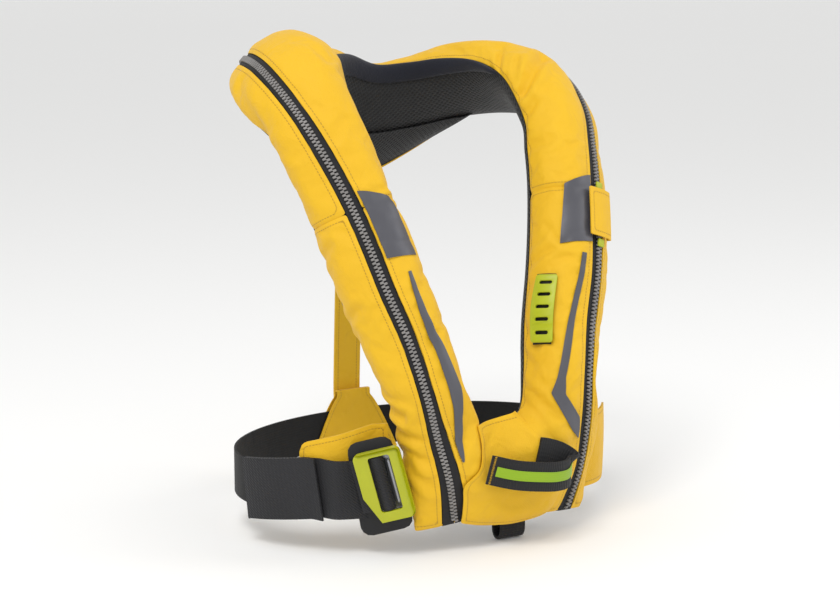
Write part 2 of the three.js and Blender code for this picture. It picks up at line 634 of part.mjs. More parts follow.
function addLadder() {
  const { from, to, near, far, slots, slot } = LADDER;
  const bow = (s) => 2.2 + 3 * Math.sin((Math.PI * (s - from)) / (to - from));
  const strip = slab(besideZip, steps(from, to, 10), steps(near, far, 3), bow, (s) => bow(s) + 2.2);
  const cutters = steps(from + 0.12, to - 0.12, slots - 1).map((s) => {
    const middle = besideZip(s, (near + far) / 2, bow(s) + 1);
    const across = besideZip(s, far, bow(s)).sub(besideZip(s, near, bow(s))).normalize();
    const out = besideZip(s, (near + far) / 2, 10).sub(besideZip(s, (near + far) / 2, 0)).normalize();
    const along = V().crossVectors(out, across).normalize();
    const place = new THREE.Matrix4().makeBasis(across, along, V().crossVectors(across, along));
    return new THREE.BoxGeometry(slot[0], slot[1], 12).applyMatrix4(place.setPosition(middle));
  });
  add("accessory_ladder", cut(strip, ...cutters), COLOURS.lime, 0.5);
  add("ladder_backing", patch(from + 0.03, to - 0.03, near + 2, far - 2, 1, 1.7, 8, 3), COLOURS.rubber);
}

addCover();
addZip();
addZipFittings();
addReflectiveTrim();
addBladder();
addInflator();
addOralTube();
addNeck();
addBack();
addBelt();
addWings();
addBuckle();
addLoops();
addLadder();

export default group;
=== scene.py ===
import json
import math

import bpy
import numpy as np
from mathutils import Euler, Matrix, Vector
from mathutils.bvhtree import BVHTree


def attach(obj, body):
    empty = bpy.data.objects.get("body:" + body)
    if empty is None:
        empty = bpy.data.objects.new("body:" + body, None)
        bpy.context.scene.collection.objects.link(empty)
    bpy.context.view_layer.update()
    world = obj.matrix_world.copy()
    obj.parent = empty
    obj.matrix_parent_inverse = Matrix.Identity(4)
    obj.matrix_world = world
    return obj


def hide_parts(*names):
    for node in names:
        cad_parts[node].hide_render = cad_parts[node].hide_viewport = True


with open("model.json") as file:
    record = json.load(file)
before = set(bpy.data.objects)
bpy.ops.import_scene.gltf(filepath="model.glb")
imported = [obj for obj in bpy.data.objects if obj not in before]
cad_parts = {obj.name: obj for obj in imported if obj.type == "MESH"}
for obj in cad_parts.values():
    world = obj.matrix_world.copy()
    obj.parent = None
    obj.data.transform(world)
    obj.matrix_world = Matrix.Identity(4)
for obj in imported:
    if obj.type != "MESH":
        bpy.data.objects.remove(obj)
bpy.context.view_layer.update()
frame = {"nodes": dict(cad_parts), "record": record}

# ---- Camera, floor and light ----
# The jacket stands open as if worn, seen from in front and from its right, a little above the belt. The floor
# is a pale sheet of paper that rises behind it, and the light is two large soft boxes with a pale room for
# the fill.

AZIMUTH, PITCH, AWAY, EYE = math.radians(31), math.radians(9.34), 1.7, 0.474
camera_data = bpy.data.cameras.new("studio_camera")
camera_data.lens = 81.73
camera_data.sensor_width = 36
camera_data.clip_end = 400
camera = bpy.data.objects.new("studio_camera", camera_data)
camera.location = (-AWAY * math.sin(AZIMUTH), -AWAY * math.cos(AZIMUTH), EYE)
camera.rotation_euler = Euler((math.pi / 2 - PITCH, 0, -AZIMUTH))
bpy.context.scene.collection.objects.link(camera)
bpy.context.scene.camera = camera
bpy.context.scene.view_settings.view_transform = "Standard"


def linear(code):
    """A colour written as sRGB hex, as the linear colour that a shader takes."""
    parts = [int(code[i : i + 2], 16) / 255 for i in (1, 3, 5)]
    return tuple(p / 12.92 if p <= 0.04045 else ((p + 0.055) / 1.055) ** 2.4 for p in parts) + (1,)


def node(tree, kind, inputs=None, **settings):
    """Adds one shader node: its settings, and its inputs as values or as the sockets that feed them."""
    new = tree.nodes.new(kind)
    for key, value in settings.items():
        setattr(new, key, value)
    for key, value in (inputs or {}).items():
        if isinstance(value, bpy.types.NodeSocket):
            tree.links.new(value, new.inputs[key])
        else:
            new.inputs[key].default_value = value
    return new


def new_material(name, **surface):
    """A material with a Principled surface whose plain values are set here."""
    material = bpy.data.materials.new(name)
    material.use_nodes = True
    shader = material.node_tree.nodes["Principled BSDF"]
    for key, value in surface.items():
        shader.inputs[key.replace("_", " ")].default_value = value
    return material, material.node_tree, shader


def deselect():
    if bpy.context.object and bpy.context.object.mode != "OBJECT":
        bpy.ops.object.mode_set(mode="OBJECT")
    bpy.ops.object.select_all(action="DESELECT")


def select_only(piece):
    deselect()
    bpy.context.view_layer.objects.active = piece
    piece.select_set(True)


deselect()
bpy.ops.mesh.primitive_plane_add(size=300, location=(0, 0, -0.0008))
floor = bpy.context.object
floor.name = "paper_floor"
paper, tree, shader = new_material("matt_paper", Roughness=0.9)
grain = node(tree, "ShaderNodeTexNoise", {"Scale": 6, "Detail": 3})
shade = node(
    tree, "ShaderNodeMixRGB",
    {"Fac": grain.outputs["Fac"], "Color1": linear("#F6F6F5"), "Color2": linear("#FBFBFA")}
)
tree.links.new(shade.outputs[0], shader.inputs["Base Color"])
floor.data.materials.append(paper)

world = bpy.data.worlds.new("pale_room")
bpy.context.scene.world = world
world.use_nodes = True
world.node_tree.nodes["Background"].inputs["Color"].default_value = linear("#FFFFFF")
world.node_tree.nodes["Background"].inputs["Strength"].default_value = 0.8


def soft_box(name, at, size, power):
    lamp = bpy.data.lights.new(name, "AREA")
    lamp.size, lamp.energy = size, power
    box = bpy.data.objects.new(name, lamp)
    box.location = at
    box.rotation_euler = (Vector((0, 0, 0.2)) - Vector(at)).to_track_quat("-Z", "Y").to_euler()
    bpy.context.scene.collection.objects.link(box)


soft_box("key_light", (-1.3, -1.2, 2.2), 0.9, 30)
soft_box("side_light", (1.9, -1.2, 1.3), 0.8, 9)

# ---- The cover's shape ----
# The cover is one padded tube, bent into a horseshoe that goes round the neck and down the chest as two
# lobes. Each row is a station along it: the middle, the way that it faces, its half sizes and the zip's
# angle.

MIDDLE_TO_LEFT = [
    ((0, 97, 369), (0, 0.95, 0.3), (37, 20, 48)),
    ((42, 92, 374), (0.2, 0.88, 0.42), (37, 22, 56)),
    ((79, 72, 384), (0.42, 0.62, 0.66), (40, 25, 64)),
    ((105, 38, 387), (0.52, 0.25, 0.82), (45, 26, 71)),
    ((120, 0, 379), (0.5, -0.2, 0.84), (46, 30, 72)),
    ((121, -34, 352), (0.38, -0.62, 0.68), (38.5, 30, 72)),
    ((116, -51, 324), (0.3, -0.8, 0.5), (38, 31, 75)),
    ((110, -65.5, 296), (0.22, -0.92, 0.35), (37, 32.5, 77.5)),
    ((101.5, -80, 260), (0.2, -0.95, 0.3), (37, 34.5, 79)),
    ((92, -92, 222), (0.18, -0.96, 0.26), (36.5, 36, 79)),
    ((78, -104.5, 179), (0.18, -0.96, 0.24), (34.5, 36, 79)),
    ((66.5, -117, 139), (0.18, -0.97, 0.18), (33, 34, 75)),
    ((64, -121.5, 102), (0.18, -0.98, 0.05), (43, 27, 73)),
    ((46, -125, 68), (0.18, -0.98, 0), (57, 23, 59)),
    ((42, -128, 22), (0.15, -0.98, -0.1), (53, 9, 62)),
]
RIGHT_SHOULDER = [
    ((44, 94.5, 378), (0.2, 0.88, 0.42), (42.5, 25, 55)),
    ((85.5, 76.5, 387), (0.42, 0.62, 0.66), (43.5, 31, 62)),
    ((114.5, 44, 393.5), (0.52, 0.25, 0.82), (44.5, 36, 69)),
    ((124.5, 2.5, 387), (0.5, -0.2, 0.84), (47.5, 36, 69)),
    ((125, -32, 362), (0.38, -0.62, 0.68), (39.5, 32.5, 68)),
    ((121, -50, 334.5), (0.3, -0.8, 0.5), (38, 31, 75)),
]
RIGHT_FOOT = [
    ((55, -119.5, 102), (0.25, -0.97, 0.05), (34, 28, 80)),
    ((50, -124, 66), (0.2, -0.97, 0), (35, 23, 85)),
    ((45, -128, 26), (0.15, -0.98, -0.1), (35.5, 9, 89)),
]
HEM = 14  # the station of the lower hem; the wearer's right has negative stations
MIRROR = np.array([-1, 1, 1, -1, 1, 1, 1, 1, 1.0])


def station_table():
    flat = lambda rows: np.array([[*a, *b, *c] for a, b, c in rows], float)
    right = flat(RIGHT_SHOULDER + MIDDLE_TO_LEFT[7 : HEM - 2] + RIGHT_FOOT) * MIRROR
    table = np.concatenate([right[::-1], flat(MIDDLE_TO_LEFT)])
    table[:, [0, 1, 2, 6, 7]] /= 1000
    return table


STATIONS = station_table()


def along_curve(points, t):
    """A smooth curve through the points, at shares t of its length in points."""
    last = len(points) - 1
    place = last * np.clip(t, 0, 1)
    i = np.minimum(np.floor(place).astype(int), last - 1)
    w = (place - i)[:, None]
    ends = np.concatenate([[2 * points[0] - points[1]], points, [2 * points[-1] - points[-2]]])
    p0, p1, p2, p3 = (ends[i + k] for k in range(4))
    into, out = (p2 - p0) / 2, (p3 - p1) / 2
    return (2 * p1 - 2 * p2 + into + out) * w**3 + (3 * p2 - 3 * p1 - 2 * into - out) * w**2 + into * w + p1


def section(s):
    s = np.atleast_1d(np.asarray(s, float))
    place = lambda station: (station + HEM) / (2 * HEM)
    centre = along_curve(STATIONS[:, :3], place(s))
    along = along_curve(STATIONS[:, :3], place(s + 0.9)) - along_curve(STATIONS[:, :3], place(s - 0.9))
    along /= np.linalg.norm(along, axis=1)[:, None]
    out = along_curve(STATIONS[:, 3:6], place(s))
    out -= (out * along).sum(1)[:, None] * along
    out /= np.linalg.norm(out, axis=1)[:, None]
    width, thick, zip_angle = along_curve(STATIONS[:, 6:9], place(s)).T
    return centre, along, out, np.cross(out, along), width, thick, zip_angle


def on_cover(s, angle, offset=0.0):
    """Places on the cover: angle 0 is the edge away from the neck, 90 the front, 180 the neck edge."""
    s, angle, offset = np.broadcast_arrays(
        np.asarray(s, float), np.asarray(angle, float), np.asarray(offset, float)
    )
    shape = s.shape
    s, angle, offset = s.ravel(), np.radians(angle.ravel()), offset.ravel()
    centre, _, out, side, width, thick, _ = section(s)
    swell = lambda x: np.sign(x) * np.abs(x) ** 0.86
    flat = np.interp(np.abs(s), [10.5, 12], [0.7, 0.5])
    depth = np.where(np.sin(angle) < 0, thick * flat, thick)
    place = centre + side * ((width + offset) * swell(np.cos(angle)))[:, None]
    place += out * ((depth + offset) * swell(np.sin(angle)))[:, None]
    return place.reshape(shape + (3,))


def beside_zip(s, across, offset=0.0):
    """Places on the cover by the distance from the zip's middle, in metres, positive towards the neck."""
    s, across = np.broadcast_arrays(np.asarray(s, float), np.asarray(across, float))
    _, _, _, _, width, thick, zip_angle = section(s.ravel())
    angle = zip_angle + np.degrees(across.ravel() * 2 / (width + thick))
    return on_cover(s, angle.reshape(s.shape), offset)


def grid_mesh(name, places):
    """A sheet through a grid of places, with a UV map in metres and each point's distance from the nearest
    edge."""
    rows, columns = places.shape[:2]
    index = np.arange(rows * columns).reshape(rows, columns)
    quads = np.stack([index[:-1, :-1], index[:-1, 1:], index[1:, 1:], index[1:, :-1]], -1).reshape(-1, 4)
    mesh = bpy.data.meshes.new(name)
    mesh.from_pydata(places.reshape(-1, 3).tolist(), [], quads.tolist())
    step = lambda axis: np.linalg.norm(np.diff(places, axis=axis), axis=2)
    u = np.concatenate([[0], np.cumsum(step(0)[:, columns // 2])])[:, None] * np.ones((1, columns))
    v = np.concatenate([np.zeros((rows, 1)), np.cumsum(step(1), axis=1)], axis=1)
    cloth = np.stack([u, v], -1).reshape(-1, 2)
    layer = mesh.uv_layers.new(name="cloth")
    loops = np.zeros(len(mesh.loops), np.int32)
    mesh.loops.foreach_get("vertex_index", loops)
    layer.data.foreach_set("uv", cloth[loops].astype(np.float32).ravel())
    ends = np.minimum(u, u[-1:, :] - u)
    sides = np.minimum(v, v[:, -1:] - v)
    for label, values in (("edge", np.minimum(ends, sides)), ("run", np.where(ends < sides, v, u))):
        mesh.attributes.new(label, "FLOAT", "POINT").data.foreach_set(
            "value", values.astype(np.float32).ravel()
        )
    mesh.update()
    piece = bpy.data.objects.new(name, mesh)
    bpy.context.scene.collection.objects.link(piece)
    return piece


def apply_modifier(piece, kind, **settings):
    """Adds a modifier to a piece with its settings, and applies it."""
    select_only(piece)
    modifier = piece.modifiers.new(kind.lower(), kind)
    for key, value in settings.items():
        setattr(modifier, key, value)
    bpy.ops.object.modifier_apply(modifier=modifier.name)


def smooth(piece, degrees=40):
    select_only(piece)
    bpy.ops.object.shade_smooth_by_angle(angle=math.radians(degrees))


def wear(piece, material, slot, body, *nodes):
    """Gives a finished piece its material and its body, and hides the CAD nodes that it stands for."""
    piece.data.materials.clear()
    piece.data.materials.append(material)
    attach(piece, body)
    if nodes:
        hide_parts(*nodes)


def sewn(piece, thick, offset, angle, *finish):
    """Gives a sheet its thickness in metres, smooths it below an angle, and finishes it as wear does."""
    apply_modifier(piece, "SOLIDIFY", thickness=thick, offset=offset)
    smooth(piece, angle)
    wear(piece, *finish)


# ---- The cover's yellow panels ----
# Polyester cloth with a proofed back, cut in three panels each side of the zip and sewn at their edges, so
# that it puffs and puckers between its seams over the folded bladder. Lockstitched 4 mm in from each edge.


def thread_wave(tree, uv, axis, pitch):
    """A sine across the cloth: axis is X or Y of its UV map, and pitch is the distance between threads in
    metres."""
    return node(
        tree, "ShaderNodeTexWave", {"Vector": uv, "Scale": 2 * math.pi / 20 / pitch}, bands_direction=axis
    )


def calc(tree, operation, first, second=0.0):
    return node(tree, "ShaderNodeMath", {0: first, 1: second}, operation=operation).outputs[0]


def woven_cloth(
    name, light, dark, thread, pitch=0.0013, weave="plain", relief=0.0003, sheen=0.2, rumple=0.5, **surface
):
    """A woven cloth: its colour and a darker one that it mottles towards at random and that is painted as
    shade between the yarns, its stitching colour or None, the pitch of its weave and how it lies."""
    material, tree, shader = new_material(name, Sheen_Weight=sheen, Sheen_Roughness=0.4, **surface)
    uv = node(tree, "ShaderNodeUVMap", uv_map="cloth").outputs[0]
    place = node(tree, "ShaderNodeTexCoord").outputs["Object"]
    if weave == "plain":
        turned = node(tree, "ShaderNodeMapping", {"Vector": uv, "Rotation": (0, 0, 0.6)}).outputs[0]
        x, y = (thread_wave(tree, turned, axis, pitch).outputs["Fac"] for axis in "XY")
        yarn = calc(tree, "MULTIPLY", x, y)
    elif weave == "rib":
        yarn = thread_wave(tree, uv, "X", pitch).outputs["Fac"]
        cross = thread_wave(tree, uv, "Y", pitch * 1.7).outputs["Fac"]
        yarn = calc(tree, "MULTIPLY", yarn, calc(tree, "ADD", calc(tree, "MULTIPLY", cross, 0.5), 0.5))
    else:
        # A twill: its ridges climb across the tape and turn back in each herringbone stripe.
        u, v = (node(tree, "ShaderNodeSeparateXYZ", {0: uv}).outputs[k] for k in (0, 1))
        climb = calc(
            tree, "ADD", calc(tree, "MULTIPLY", u, 0.9),
            calc(tree, "PINGPONG", v, 0.0125 if weave == "twill" else 0.2)
        )
        ridge = calc(tree, "SINE", calc(tree, "MULTIPLY", climb, 2 * math.pi / pitch))
        dots = calc(tree, "SINE", calc(tree, "MULTIPLY", u, 2 * math.pi / pitch * 0.72))
        yarn = calc(
            tree, "ADD",
            calc(tree, "MULTIPLY", calc(tree, "ADD", ridge, calc(tree, "MULTIPLY", dots, 0.6)), 0.31), 0.5
        )
    tone = node(tree, "ShaderNodeTexNoise", {"Vector": place, "Scale": 11, "Detail": 3}).outputs["Fac"]
    base = node(
        tree, "ShaderNodeMixRGB", {"Fac": tone, "Color1": linear(light), "Color2": linear(dark)}
    ).outputs[0]
    # Painted shade: the colour darkens towards the dark colour in the hollows between the yarns, where the
    # weave is low.
    shadow = calc(tree, "MULTIPLY", calc(tree, "SUBTRACT", 1.0, yarn), 0.5 if weave != "plain" else 0.3)
    colour = node(
        tree, "ShaderNodeMixRGB", {"Fac": shadow, "Color1": base, "Color2": linear(dark)}
    ).outputs[0]
    height = yarn
    if thread:
        edge = node(tree, "ShaderNodeAttribute", attribute_name="edge").outputs["Fac"]
        run = node(tree, "ShaderNodeAttribute", attribute_name="run").outputs["Fac"]
        line = calc(tree, "LESS_THAN", calc(tree, "ABSOLUTE", calc(tree, "SUBTRACT", edge, 0.004)), 0.0004)
        dash = calc(tree, "GREATER_THAN", calc(tree, "PINGPONG", run, 0.0014), 0.0004)
        stitch = calc(tree, "MULTIPLY", line, dash)
        colour = node(
            tree, "ShaderNodeMixRGB", {"Fac": stitch, "Color1": colour, "Color2": linear(thread)}
        ).outputs[0]
        dip = calc(tree, "LESS_THAN", calc(tree, "ABSOLUTE", calc(tree, "SUBTRACT", edge, 0.004)), 0.0009)
        height = calc(
            tree, "ADD", height,
            calc(tree, "SUBTRACT", calc(tree, "MULTIPLY", stitch, 2.0), calc(tree, "MULTIPLY", dip, 1.6))
        )
    tree.links.new(colour, shader.inputs["Base Color"])
    fine = node(tree, "ShaderNodeBump", {"Height": height, "Strength": 0.6, "Distance": relief}).outputs[0]
    soft = node(
        tree, "ShaderNodeTexNoise", {"Vector": place, "Scale": 60, "Detail": 4, "Distortion": 0.5}
    ).outputs["Fac"]
    broad = node(
        tree, "ShaderNodeBump", {"Height": soft, "Strength": rumple, "Distance": 0.0035, "Normal": fine}
    ).outputs[0]
    tree.links.new(broad, shader.inputs["Normal"])
    return material


# Plain-woven polyester, matt and slightly fuzzy at grazing angles. Its threads lie 0.5 mm apart, drawn 1.3 mm
# apart so that the weave shows, and slow noise gives the rumple of cloth over a soft filling.
POLYESTER = woven_cloth(
    "woven_polyester", "#EEBE08", "#DEAC06", "#B98A10", sheen=0.08, rumple=0.7, Roughness=0.66, IOR=1.5
)
TAPE_HALF, NECK_EDGE, OUTER_EDGE, SEAM = 0.0066, 196, -24, 7.3


# Folds that the horseshoe's bends press into the cloth: stations and angles of each end, depth and half width
# in mm.
FOLDS = [
    (4.05, 112, 4.56, 178, 5.5, 5), (3.5, 168, 3.72, 190, 2.6, 3), (3.95, 156, 4.3, 182, 2.4, 3),
    (4.9, 168, 5.1, 192, 2, 4), (-3.85, 36, -4.9, -10, 3.6, 6), (-3.8, 112, -4.4, 132, 1.6, 4),
    (-4.6, 70, -5.4, 92, 1.2, 5), (-5.5, 8, -5.9, 40, 1.5, 5), (-10.95, -20, -11.25, 26, 3.2, 4),
    (-11.45, -16, -11.85, 54, 2.4, 4), (-12.2, -12, -12.4, 60, 1.5, 5), (-12.5, 20, -13.1, 62, 1.5, 4),
    (11.7, 184, 12.6, 104, 2.4, 5), (11.3, 188, 12.0, 122, 1.6, 4), (10.1, 196, 10.5, 172, 1.4, 4),
    (-9.3, -10, -9.1, 30, 1.4, 4), (-8.0, -14, -7.8, 26, 1.4, 4), (9.0, 188, 8.7, 160, 1.3, 4),
    (6.1, 190, 6.0, 150, 1.6, 5), (-1.5, 60, -1.6, 96, 1.6, 5), (1.2, 58, 1.4, 100, 1.6, 5),
    (12.9, 70, 13.2, 110, 1.2, 4),
]


def folds_at(places):
    """How far the folds move the cloth at these places, out of the surface."""
    height = np.zeros(places.shape[:2])
    for s0, a0, s1, a1, depth, half in FOLDS:
        line = on_cover(np.linspace(s0, s1, 16), np.linspace(a0, a1, 16))
        distance = np.linalg.norm(places[:, :, None] - line, axis=-1).min(-1) * 1000
        valley, ridge = (np.exp(-(((distance - away) / half) ** 2)) for away in (0, 2.1 * half))
        height -= depth / 1000 * (valley - 0.45 * ridge)
    return height


def cover_panel(name, start, end, low, high, sunk, cell=0.0034):
    """One panel of the cover between two angles, each a number or a function of the stations. Its seams are
    sunk."""
    value = lambda angle, s: angle(s) if callable(angle) else np.full(len(s), float(angle))
    rough = np.linspace(start, end, 60)
    middle = on_cover(rough, (value(low, rough) + value(high, rough)) / 2)
    length = np.linalg.norm(np.diff(middle, axis=0), axis=1).sum()
    s = np.linspace(start, end, int(length / cell) + 1)
    a, b = value(low, s), value(high, s)
    half = len(s) // 2
    width = np.linalg.norm(
        np.diff(on_cover(s[half], np.linspace(a[half], b[half], 40)), axis=0), axis=1
    ).sum()
    share = np.linspace(0, 1, int(width / cell) + 1)
    angle = a[:, None] * (1 - share) + b[:, None] * share
    along = np.linspace(0, length, len(s))[:, None]
    ends = np.minimum(along, length - along)
    sink = lambda distance: -0.0014 * np.exp(-((distance / 0.004) ** 2))
    offset = sink(ends) + sink(share * width) * sunk[0] + sink((1 - share) * width) * sunk[1]
    held = np.clip(np.minimum(share, 1 - share) * width / 0.006, 0, 1)
    places = on_cover(s[:, None], angle)
    return grid_mesh(name, on_cover(s[:, None], angle, offset + held * folds_at(places)))


def zip_edge(distance):
    def angle(s):
        _, _, _, _, width, thick, zip_angle = section(s)
        return zip_angle + np.degrees(distance * 2 / (width + thick))
    return angle


REACHES = {"right": (-HEM, -SEAM), "collar": (-SEAM, SEAM), "left": (SEAM, HEM)}
panels = []
for part, (start, end) in REACHES.items():
    panels.append(cover_panel(part + "_front_cloth", start, end, zip_edge(TAPE_HALF), NECK_EDGE, (0, 1)))
    panels.append(cover_panel(part + "_side_cloth", start, end, OUTER_EDGE, zip_edge(-TAPE_HALF), (1, 0)))


def puff(pieces, frames=20, most=0.006):
    """Blows the sewn panels up a little, so that the spare cloth puckers at the seams, and keeps what it
    did."""
    before = {}
    for piece in pieces:
        mesh = piece.data
        before[piece.name] = np.array([v.co for v in mesh.vertices])
        edge = np.zeros(len(mesh.vertices), np.float32)
        mesh.attributes["edge"].data.foreach_get("value", edge)
        sewn = piece.vertex_groups.new(name="sewn")
        sewn.add(np.nonzero(edge < 1e-5)[0].tolist(), 1, "REPLACE")
        cloth = piece.modifiers.new("cloth", "CLOTH").settings
        cloth.quality = 6
        cloth.mass = 0.15
        cloth.tension_stiffness = cloth.compression_stiffness = 12
        cloth.shear_stiffness = 4
        cloth.bending_stiffness = 0.06
        cloth.tension_damping = cloth.compression_damping = 6
        cloth.use_pressure = True
        cloth.uniform_pressure_force = 3
        cloth.shrink_min = -0.032
        cloth.vertex_group_mass = "sewn"
        cloth.effector_weights.gravity = 0
    for f in range(1, frames + 1):
        bpy.context.scene.frame_set(f)
    for piece in pieces:
        select_only(piece)
        bpy.ops.object.modifier_apply(modifier="cloth")
        after = np.array([v.co for v in piece.data.vertices])
        moved = after - before[piece.name]
        far = np.linalg.norm(moved, axis=1)
        moved *= (np.minimum(far, most) / np.maximum(far, 1e-9))[:, None]
        piece.data.vertices.foreach_set("co", (before[piece.name] + moved).astype(np.float32).ravel())
        piece.vertex_groups.clear()
    bpy.context.scene.frame_set(1)


puff(panels)
for panel in panels:
    apply_modifier(panel, "SUBSURF", levels=1, render_levels=1)
    sewn(panel, 0.0014, -1, 60, POLYESTER, "cover_fabric", "jacket", panel.name.replace("_cloth", "_panel"))

# ---- The hems of the lobes ----
# Flat ends of the same polyester, turned in and sewn round under each lobe.

for name, end in (("right_hem", -HEM), ("left_hem", HEM)):
    angles = np.linspace(0, 360, 61)
    rim = on_cover(end * 0.998, angles, -0.0012)
    shares = np.linspace(0.04, 1, 9)[:, None, None]
    hem = grid_mesh(name + "_cloth", rim[None] * shares + rim[:-1].mean(0) * (1 - shares))
    sewn(hem, 0.001, 0, 60, POLYESTER, "cover_fabric", "jacket", name)

# ---- The burst zip ----
# A moulded acetal chain on two woven polyester tapes. It runs the whole way round, and its teeth part from
# each other when the bladder fills. The tapes are sewn under the folded edges of the panels.

ZIP_TAPE = woven_cloth(
    "zip_tape_twill", "#18181C", "#0B0B0E", None, 0.0016, "twill", 0.0004, 0.05, 0.1, Roughness=0.75
)
ACROSS = np.array([0.0002, 0.004, 0.006, 0.0075, 0.009])
SUNK = np.array([0.0007, 0.0007, 0.0009, 0.003, 0.0048])
for side, columns in (("neck", ACROSS), ("outer", -ACROSS[::-1])):
    depth = SUNK if side == "neck" else SUNK[::-1]
    places = beside_zip(np.linspace(-HEM, HEM, 480)[:, None], columns[None, :], -depth[None, :])
    tape = grid_mesh("zip_tape_" + side, places)
    sewn(tape, 0.0007, -1, 40, ZIP_TAPE, "zip_tape", "jacket", "zip_tape_" + side + "_side")


def moulded(name, light, dark, roughness, grain=0.0008, relief=0.00008, **surface):
    """A moulded plastic or rubber: its colour, with the slight mottle and the fine spark-eroded grain of the
    mould."""
    material, tree, shader = new_material(name, **surface)
    place = node(tree, "ShaderNodeTexCoord").outputs["Object"]
    tone = node(tree, "ShaderNodeTexNoise", {"Vector": place, "Scale": 70, "Detail": 3}).outputs["Fac"]
    colour = node(
        tree, "ShaderNodeMixRGB", {"Fac": tone, "Color1": linear(light), "Color2": linear(dark)}
    ).outputs[0]
    tree.links.new(colour, shader.inputs["Base Color"])
    spark = node(
        tree, "ShaderNodeTexNoise", {"Vector": place, "Scale": 1 / grain, "Detail": 2}
    ).outputs["Fac"]
    wear_map = node(
        tree, "ShaderNodeMapRange", {0: spark, 3: roughness - 0.08, 4: roughness + 0.08}
    ).outputs[0]
    tree.links.new(wear_map, shader.inputs["Roughness"])
    bump = node(tree, "ShaderNodeBump", {"Height": spark, "Strength": 0.4, "Distance": relief}).outputs[0]
    tree.links.new(bump, shader.inputs["Normal"])
    return material


# Injection-moulded acetal, pale grey and faintly shiny.
ACETAL = moulded("moulded_acetal", "#8F8C8A", "#6C6967", 0.5, IOR=1.48)
PITCH = 0.0034  # between neighbouring teeth of one side

deselect()
bpy.ops.mesh.primitive_cube_add(size=1, location=(0.0014, 0, 0))
tooth = bpy.context.object
tooth.scale = (0.0031, 0.0021, 0.0022)
bpy.ops.object.transform_apply(location=True, scale=True)
bpy.ops.object.mode_set(mode="EDIT")
bpy.ops.mesh.select_all(action="SELECT")
bpy.ops.mesh.bevel(offset=0.00035, segments=1)
bpy.ops.object.mode_set(mode="OBJECT")
corners = np.array([v.co for v in tooth.data.vertices])
faces = [list(p.vertices) for p in tooth.data.polygons]
bpy.data.objects.remove(tooth)
# The head in the middle is wider than the foot on the tape.
corners[:, 1] *= np.where(corners[:, 0] < 0.0012, 1.08, 0.9)

fine = np.linspace(-HEM + 0.03, HEM - 0.03, 6000)
line = beside_zip(fine, 0)
run = np.concatenate([[0], np.cumsum(np.linalg.norm(np.diff(line, axis=0), axis=1))])
at = np.interp(np.arange(PITCH / 2, run[-1], PITCH / 2), run, fine)
centre = beside_zip(at, 0, 0.0002)
across = beside_zip(at, 0.002) - beside_zip(at, -0.002)
across /= np.linalg.norm(across, axis=1)[:, None]
along = beside_zip(at + 0.02, 0) - beside_zip(at - 0.02, 0)
along /= np.linalg.norm(along, axis=1)[:, None]
out = np.cross(across, along)
out *= np.sign((out * (beside_zip(at, 0, 0.01) - centre)).sum(1))[:, None]
hand = np.where(np.arange(len(at)) % 2 == 0, 1.0, -1.0)[:, None, None]
places = centre[:, None] + hand * (
    across[:, None] * corners[None, :, :1] + along[:, None] * corners[None, :, 1:2]
)
places += out[:, None] * corners[None, :, 2:]
count = len(corners)
chain_mesh = bpy.data.meshes.new("zip_chain")
chain_mesh.from_pydata(
    places.reshape(-1, 3).tolist(), [],
    [[i + k * count for i in face] for k in range(len(at)) for face in faces]
)
chain = bpy.data.objects.new("zip_chain", chain_mesh)
bpy.context.scene.collection.objects.link(chain)
select_only(chain)
bpy.ops.object.mode_set(mode="EDIT")
bpy.ops.mesh.select_all(action="SELECT")
bpy.ops.mesh.normals_make_consistent(inside=False)
bpy.ops.object.mode_set(mode="OBJECT")
wear(chain, ACETAL, "zip_teeth", "jacket", "zip_teeth")

# ---- The zip's weak link ----
# A short tab of the polyester covers the place where the chain bursts first, between two lime plastic stops.
# It is hemmed and held by hook and loop, and lifts to show the slider.

TAB_ACROSS = np.array([-12.4, -12.1, -11.6, -10.8, -9, -7, -5, -3, -1, 1, 3, 5, 7, 9, 11]) / 1000
TAB_LIFT = np.array([1.2, 3.2, 4.8, 5.8, 6.2, 6.2, 6.2, 6.2, 6.2, 6.2, 6.2, 6.2, 6.2, 6.2, 6.2]) / 1000
tab = grid_mesh(
    "burst_tab_cloth",
    beside_zip(np.linspace(7.27, 8.29, 26)[:, None], TAB_ACROSS[None, :], TAB_LIFT[None, :])
)
apply_modifier(tab, "SUBSURF", levels=1, render_levels=1)
sewn(tab, 0.0012, -1, 60, POLYESTER, "cover_fabric", "burst_tab", "burst_tab")

# Injection-moulded nylon in a safety lime, satin.
LIME_NYLON = moulded("lime_nylon", "#B4BE14", "#A2AC0C", 0.45, IOR=1.53)


def rounded_block(name, size, at, bevel, segments=3):
    """A block of a size in metres, its middle at a place, with every edge rounded."""
    deselect()
    bpy.ops.mesh.primitive_cube_add(size=1, location=at)
    block = bpy.context.object
    block.name = block.data.name = name
    block.scale = size
    bpy.ops.object.transform_apply(location=True, scale=True)
    bpy.ops.object.mode_set(mode="EDIT")
    bpy.ops.mesh.select_all(action="SELECT")
    bpy.ops.mesh.bevel(offset=bevel, segments=segments, affect="EDGES")
    bpy.ops.object.mode_set(mode="OBJECT")
    smooth(block)
    return block


def zip_frame(s, offset):
    """The frame of a small part that sits on the zip: x across, y along it, z out."""
    middle = Vector(beside_zip(s, 0, offset))
    x = Vector(beside_zip(s, 0.002) - beside_zip(s, -0.002)).normalized()
    z = (Vector(beside_zip(s, 0, 0.01)) - Vector(beside_zip(s, 0))).normalized()
    y = z.cross(x).normalized()
    z = x.cross(y)
    return Matrix((x, y, z)).transposed().to_4x4(), middle


def stand(piece, turn, middle):
    piece.data.transform(Matrix.Translation(middle) @ turn)


